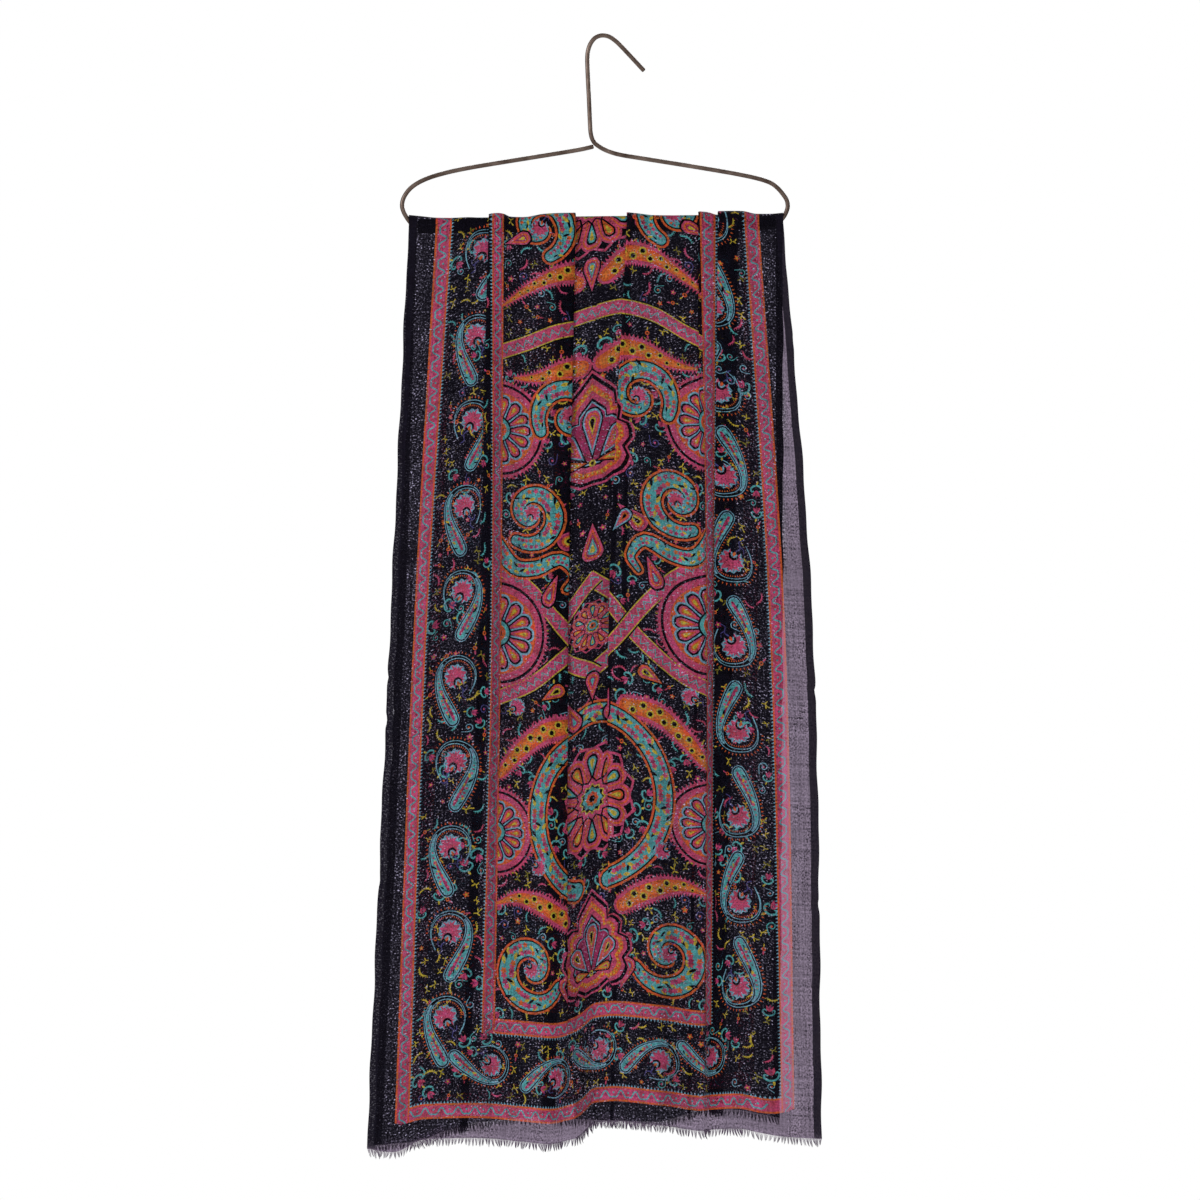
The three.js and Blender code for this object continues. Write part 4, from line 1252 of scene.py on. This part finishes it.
def wire_material():
    """Dark bronze lacquer on drawn wire, rubbed lighter in places"""
    m = Nodes("bronze_wire")
    place = m.object_place()
    cloud = m.noise(place, 60, (1, 1, 1), 4.0, 0.6)
    grain = m.noise(place, 900, (1, 1, 1), 3.0, 0.6)
    worn = m.add(m.times(cloud, 0.9), m.times(grain, 0.1))
    m.base_ramp(worn, tint("6a564c"), tint("ab9588"), (0.35, 0.7))
    m.look(Roughness=m.add(m.times(grain, 0.15), 0.28), Metallic=0.45)
    m.bump(grain, 0.03, 0.0002)
    return m.material


def sleeve_material():
    """Matt black sleeve on the bar"""
    m = Nodes("black_sleeve")
    grain = m.noise(m.object_place(), 700, (0.2, 1, 1), 3.0, 0.6)
    m.base_ramp(grain, tint("0a0a0e"), tint("1c1b22"))
    m.look(Roughness=0.62)
    m.bump(grain, 0.2, 0.0003)
    return m.material


THREADS = 620
THREAD_WIDTH = 0.62
THREAD_LENGTH = 7.6
TUFT = 4
GATHER = 0.72
ROOT_HEIGHT = 1.2
# How far down a thread each of its rings lies, as a share of its length, and how thick it is there
THREAD_RINGS = [(-1.2, 0.5), (0.0, 1.0), (0.4, 1.0), (0.8, 0.7), (1.0, 0.25)]
THREAD_TONES = ("93809a", "4c3c55")


def make_fringe(side, drape, material):
    """The warp ends left unwoven under a hem, thread by thread"""
    rng = random.Random(5 if side == "front" else 6)
    points, faces, colours = [], [], []
    light, dark = [np.array(tint(code)) for code in THREAD_TONES]
    u_places = np.linspace(0.6, CLOTH_WIDTH - 0.6, THREADS)
    roots = drape.place(u_places, np.full(THREADS, ROOT_HEIGHT)) / MM
    ends = drape.place(u_places, np.zeros(THREADS)) / MM
    for k in range(THREADS):
        if k % TUFT == 0:
            clump = math.sin(k * 0.21) + math.sin(k * 0.083 + 2)
            tuft_length = THREAD_LENGTH + 0.5 * clump + rng.uniform(-1.0, 0.6)
            tuft_lean = 0.16 * clump + rng.uniform(-0.2, 0.2)
            out = rng.uniform(-0.12, 0.12)
        length = tuft_length + rng.uniform(-0.9, 0.5)
        gathered = (ends[min(k - k % TUFT + TUFT // 2, THREADS - 1)] - ends[k]) * GATHER
        lean = tuft_lean + rng.uniform(-0.05, 0.05)
        first = len(points)
        for share, thick in THREAD_RINGS:
            if share < 0:
                centre = roots[k]
            else:
                down = length * share
                bend = lean * down * (0.4 + 0.6 * share)
                centre = ends[k] + gathered * share + np.array([bend, out * down, -down])
            radius = THREAD_WIDTH / 2 * thick
            for corner in range(3):
                angle = corner * 2 * math.pi / 3 + k
                points.append(centre + radius * np.array([math.cos(angle), math.sin(angle), 0]))
                colours.append(light + (dark - light) * max(share, 0) ** 2)
        last = len(points) - 3
        for ring in range(first, last, 3):
            for corner in range(3):
                a, b = ring + corner, ring + (corner + 1) % 3
                faces += [(a, a + 3, b + 3), (a, b + 3, b)]
        faces += [(first, first + 1, first + 2), (last + 2, last + 1, last)]
    obj = new_mesh(f"{side}_warp_ends", np.array(points) * MM, faces)
    attribute = obj.data.color_attributes.new("thread", "FLOAT_COLOR", "POINT")
    values = np.column_stack([np.array(colours), np.ones(len(colours))]).astype(np.float32)
    attribute.data.foreach_set("color", values.ravel())
    return placed(obj, material, f"fringe_{side}")


END_ROUND = 0.7
WIRE_SIDES = 20
BAR_SIDES = 40


def swept_tube(name, line, diameter, sides):
    """A round wire along a line in the hanger's plane, with softly rounded ends"""
    line = smooth(line, 7)
    along, _ = sides_of(line)
    radius = diameter / 2
    rings = [(line[0] - along[0] * END_ROUND, along[0], radius * END_ROUND),
             *[(point, ahead, radius) for point, ahead in zip(line, along)],
             (line[-1] + along[-1] * END_ROUND, along[-1], radius * END_ROUND)]
    points, faces = [], []
    for point, ahead, reach in rings:
        for k in range(sides):
            angle = 2 * math.pi * k / sides
            aside = np.array([-ahead[1], ahead[0]]) * math.cos(angle) * reach
            points.append((point[0] + aside[0], math.sin(angle) * reach, point[1] + aside[1]))
    for ring in range(len(rings) - 1):
        for k in range(sides):
            a, b = ring * sides + k, ring * sides + (k + 1) % sides
            faces += [(a, a + sides, b + sides), (a, b + sides, b)]
    for centre, first, turned in ((rings[0][0], 0, True), (rings[-1][0], (len(rings) - 1) * sides, False)):
        middle = len(points)
        points.append((centre[0], 0, centre[1]))
        for k in range(sides):
            pair = (first + k, first + (k + 1) % sides)
            faces.append((middle, *pair) if turned else (middle, *pair[::-1]))
    return new_mesh(name, np.array(points) * MM, faces)


def bore_points(start, towards):
    """Where a wire enters the bar's bore and where it stops inside it"""
    direction = (towards - start) / np.linalg.norm(towards - start)
    end = start + direction * (BORE_DEPTH - WIRE_END_GAP)
    return [(start[0], start[2]), (end[0], end[2])]


def make_hanger():
    bronze = wire_material()
    for name, line in (
        ("hook", HOOK_LINE),
        ("shoulder_right", RIGHT_ARM_LINE + bore_points(BAR_RIGHT, BAR_LEFT)),
        ("shoulder_left", LEFT_ARM_LINE + bore_points(BAR_LEFT, BAR_RIGHT)),
    ):
        placed(swept_tube(f"{name}_wire", line, WIRE_DIAMETER, WIRE_SIDES), bronze, name)
    ends = [(BAR_LEFT[0], BAR_LEFT[2]), (BAR_RIGHT[0], BAR_RIGHT[2])]
    placed(swept_tube("bar_sleeve", ends, BAR_DIAMETER, BAR_SIDES), sleeve_material(), "bar")


FLOOR_REACH = 1.5
FLOOR_LEVEL = -1.45
EVEN_LIGHT = 0.18
AIM = Vector((0, 0, -0.6))
# Area lights, with their places and sizes in metres and their power in watts
LIGHTS = [("key", (-2.9, -2.5, 0.7), 1.5, 58), ("fill", (1.6, -3.2, -0.4), 2.0, 12),
          ("rim", (0.4, 2.6, 0.8), 1.8, 40)]


def make_floor():
    """A pale ground far below the part"""
    floor = bpy.data.meshes.new("floor")
    signs = ((-1, -1), (1, -1), (1, 1), (-1, 1))
    corners = [(x * FLOOR_REACH, y * FLOOR_REACH, FLOOR_LEVEL) for x, y in signs]
    floor.from_pydata(corners, [], [(0, 1, 2, 3)])
    m = Nodes("pale_floor")
    cloud = m.noise(m.object_place(), 3, (1, 1, 1), 2.0, 0.5)
    m.base_ramp(cloud, (0.84, 0.84, 0.84), (0.88, 0.88, 0.88))
    m.look(Roughness=0.8)
    floor.materials.append(m.material)
    linked(bpy.data.objects.new("floor", floor))


def make_world():
    """White behind the part, and a weaker even light on it"""
    world = bpy.data.worlds.new("studio")
    world.use_nodes = True
    tree = world.node_tree
    background = tree.nodes["Background"]
    background.inputs["Color"].default_value = (1, 1, 1, 1)
    path = tree.nodes.new("ShaderNodeLightPath")
    strength = tree.nodes.new("ShaderNodeMix")
    strength.inputs["A"].default_value = EVEN_LIGHT
    strength.inputs["B"].default_value = 1.0
    tree.links.new(path.outputs["Is Camera Ray"], strength.inputs["Factor"])
    tree.links.new(strength.outputs["Result"], background.inputs["Strength"])
    bpy.context.scene.world = world


def make_lights():
    for name, place, size, power in LIGHTS:
        light = bpy.data.lights.new(name, "AREA")
        light.energy = power
        light.size = size
        lamp = linked(bpy.data.objects.new(name, light))
        lamp.location = place
        lamp.rotation_mode = "QUATERNION"
        lamp.rotation_quaternion = (AIM - Vector(place)).to_track_quat("-Z", "Y")


CAMERA_DISTANCE = 8.0
FRAME_WIDTH = 1.2
FRAME_CENTRE = (-0.002, -0.5624)


def make_camera():
    camera = bpy.data.cameras.new("camera")
    camera.sensor_width = 36
    camera.lens = camera.sensor_width * CAMERA_DISTANCE / FRAME_WIDTH
    camera.clip_end = 100
    obj = linked(bpy.data.objects.new("camera", camera))
    obj.location = (FRAME_CENTRE[0], -CAMERA_DISTANCE, FRAME_CENTRE[1])
    obj.rotation_euler = (math.pi / 2, 0, 0)
    bpy.context.scene.camera = obj


make_camera()
make_floor()
make_world()
make_lights()
bpy.context.scene.view_settings.view_transform = "Standard"

shapes = print_shapes()
outlines = seen_outlines(shapes)
gauze = gauze_material()
threads = thread_material()
for side in ("front", "back"):
    drape = Drape(side)
    cloth = make_cloth(side, shapes, outlines, drape, gauze)
    fringe = make_fringe(side, drape, threads)
make_hanger()
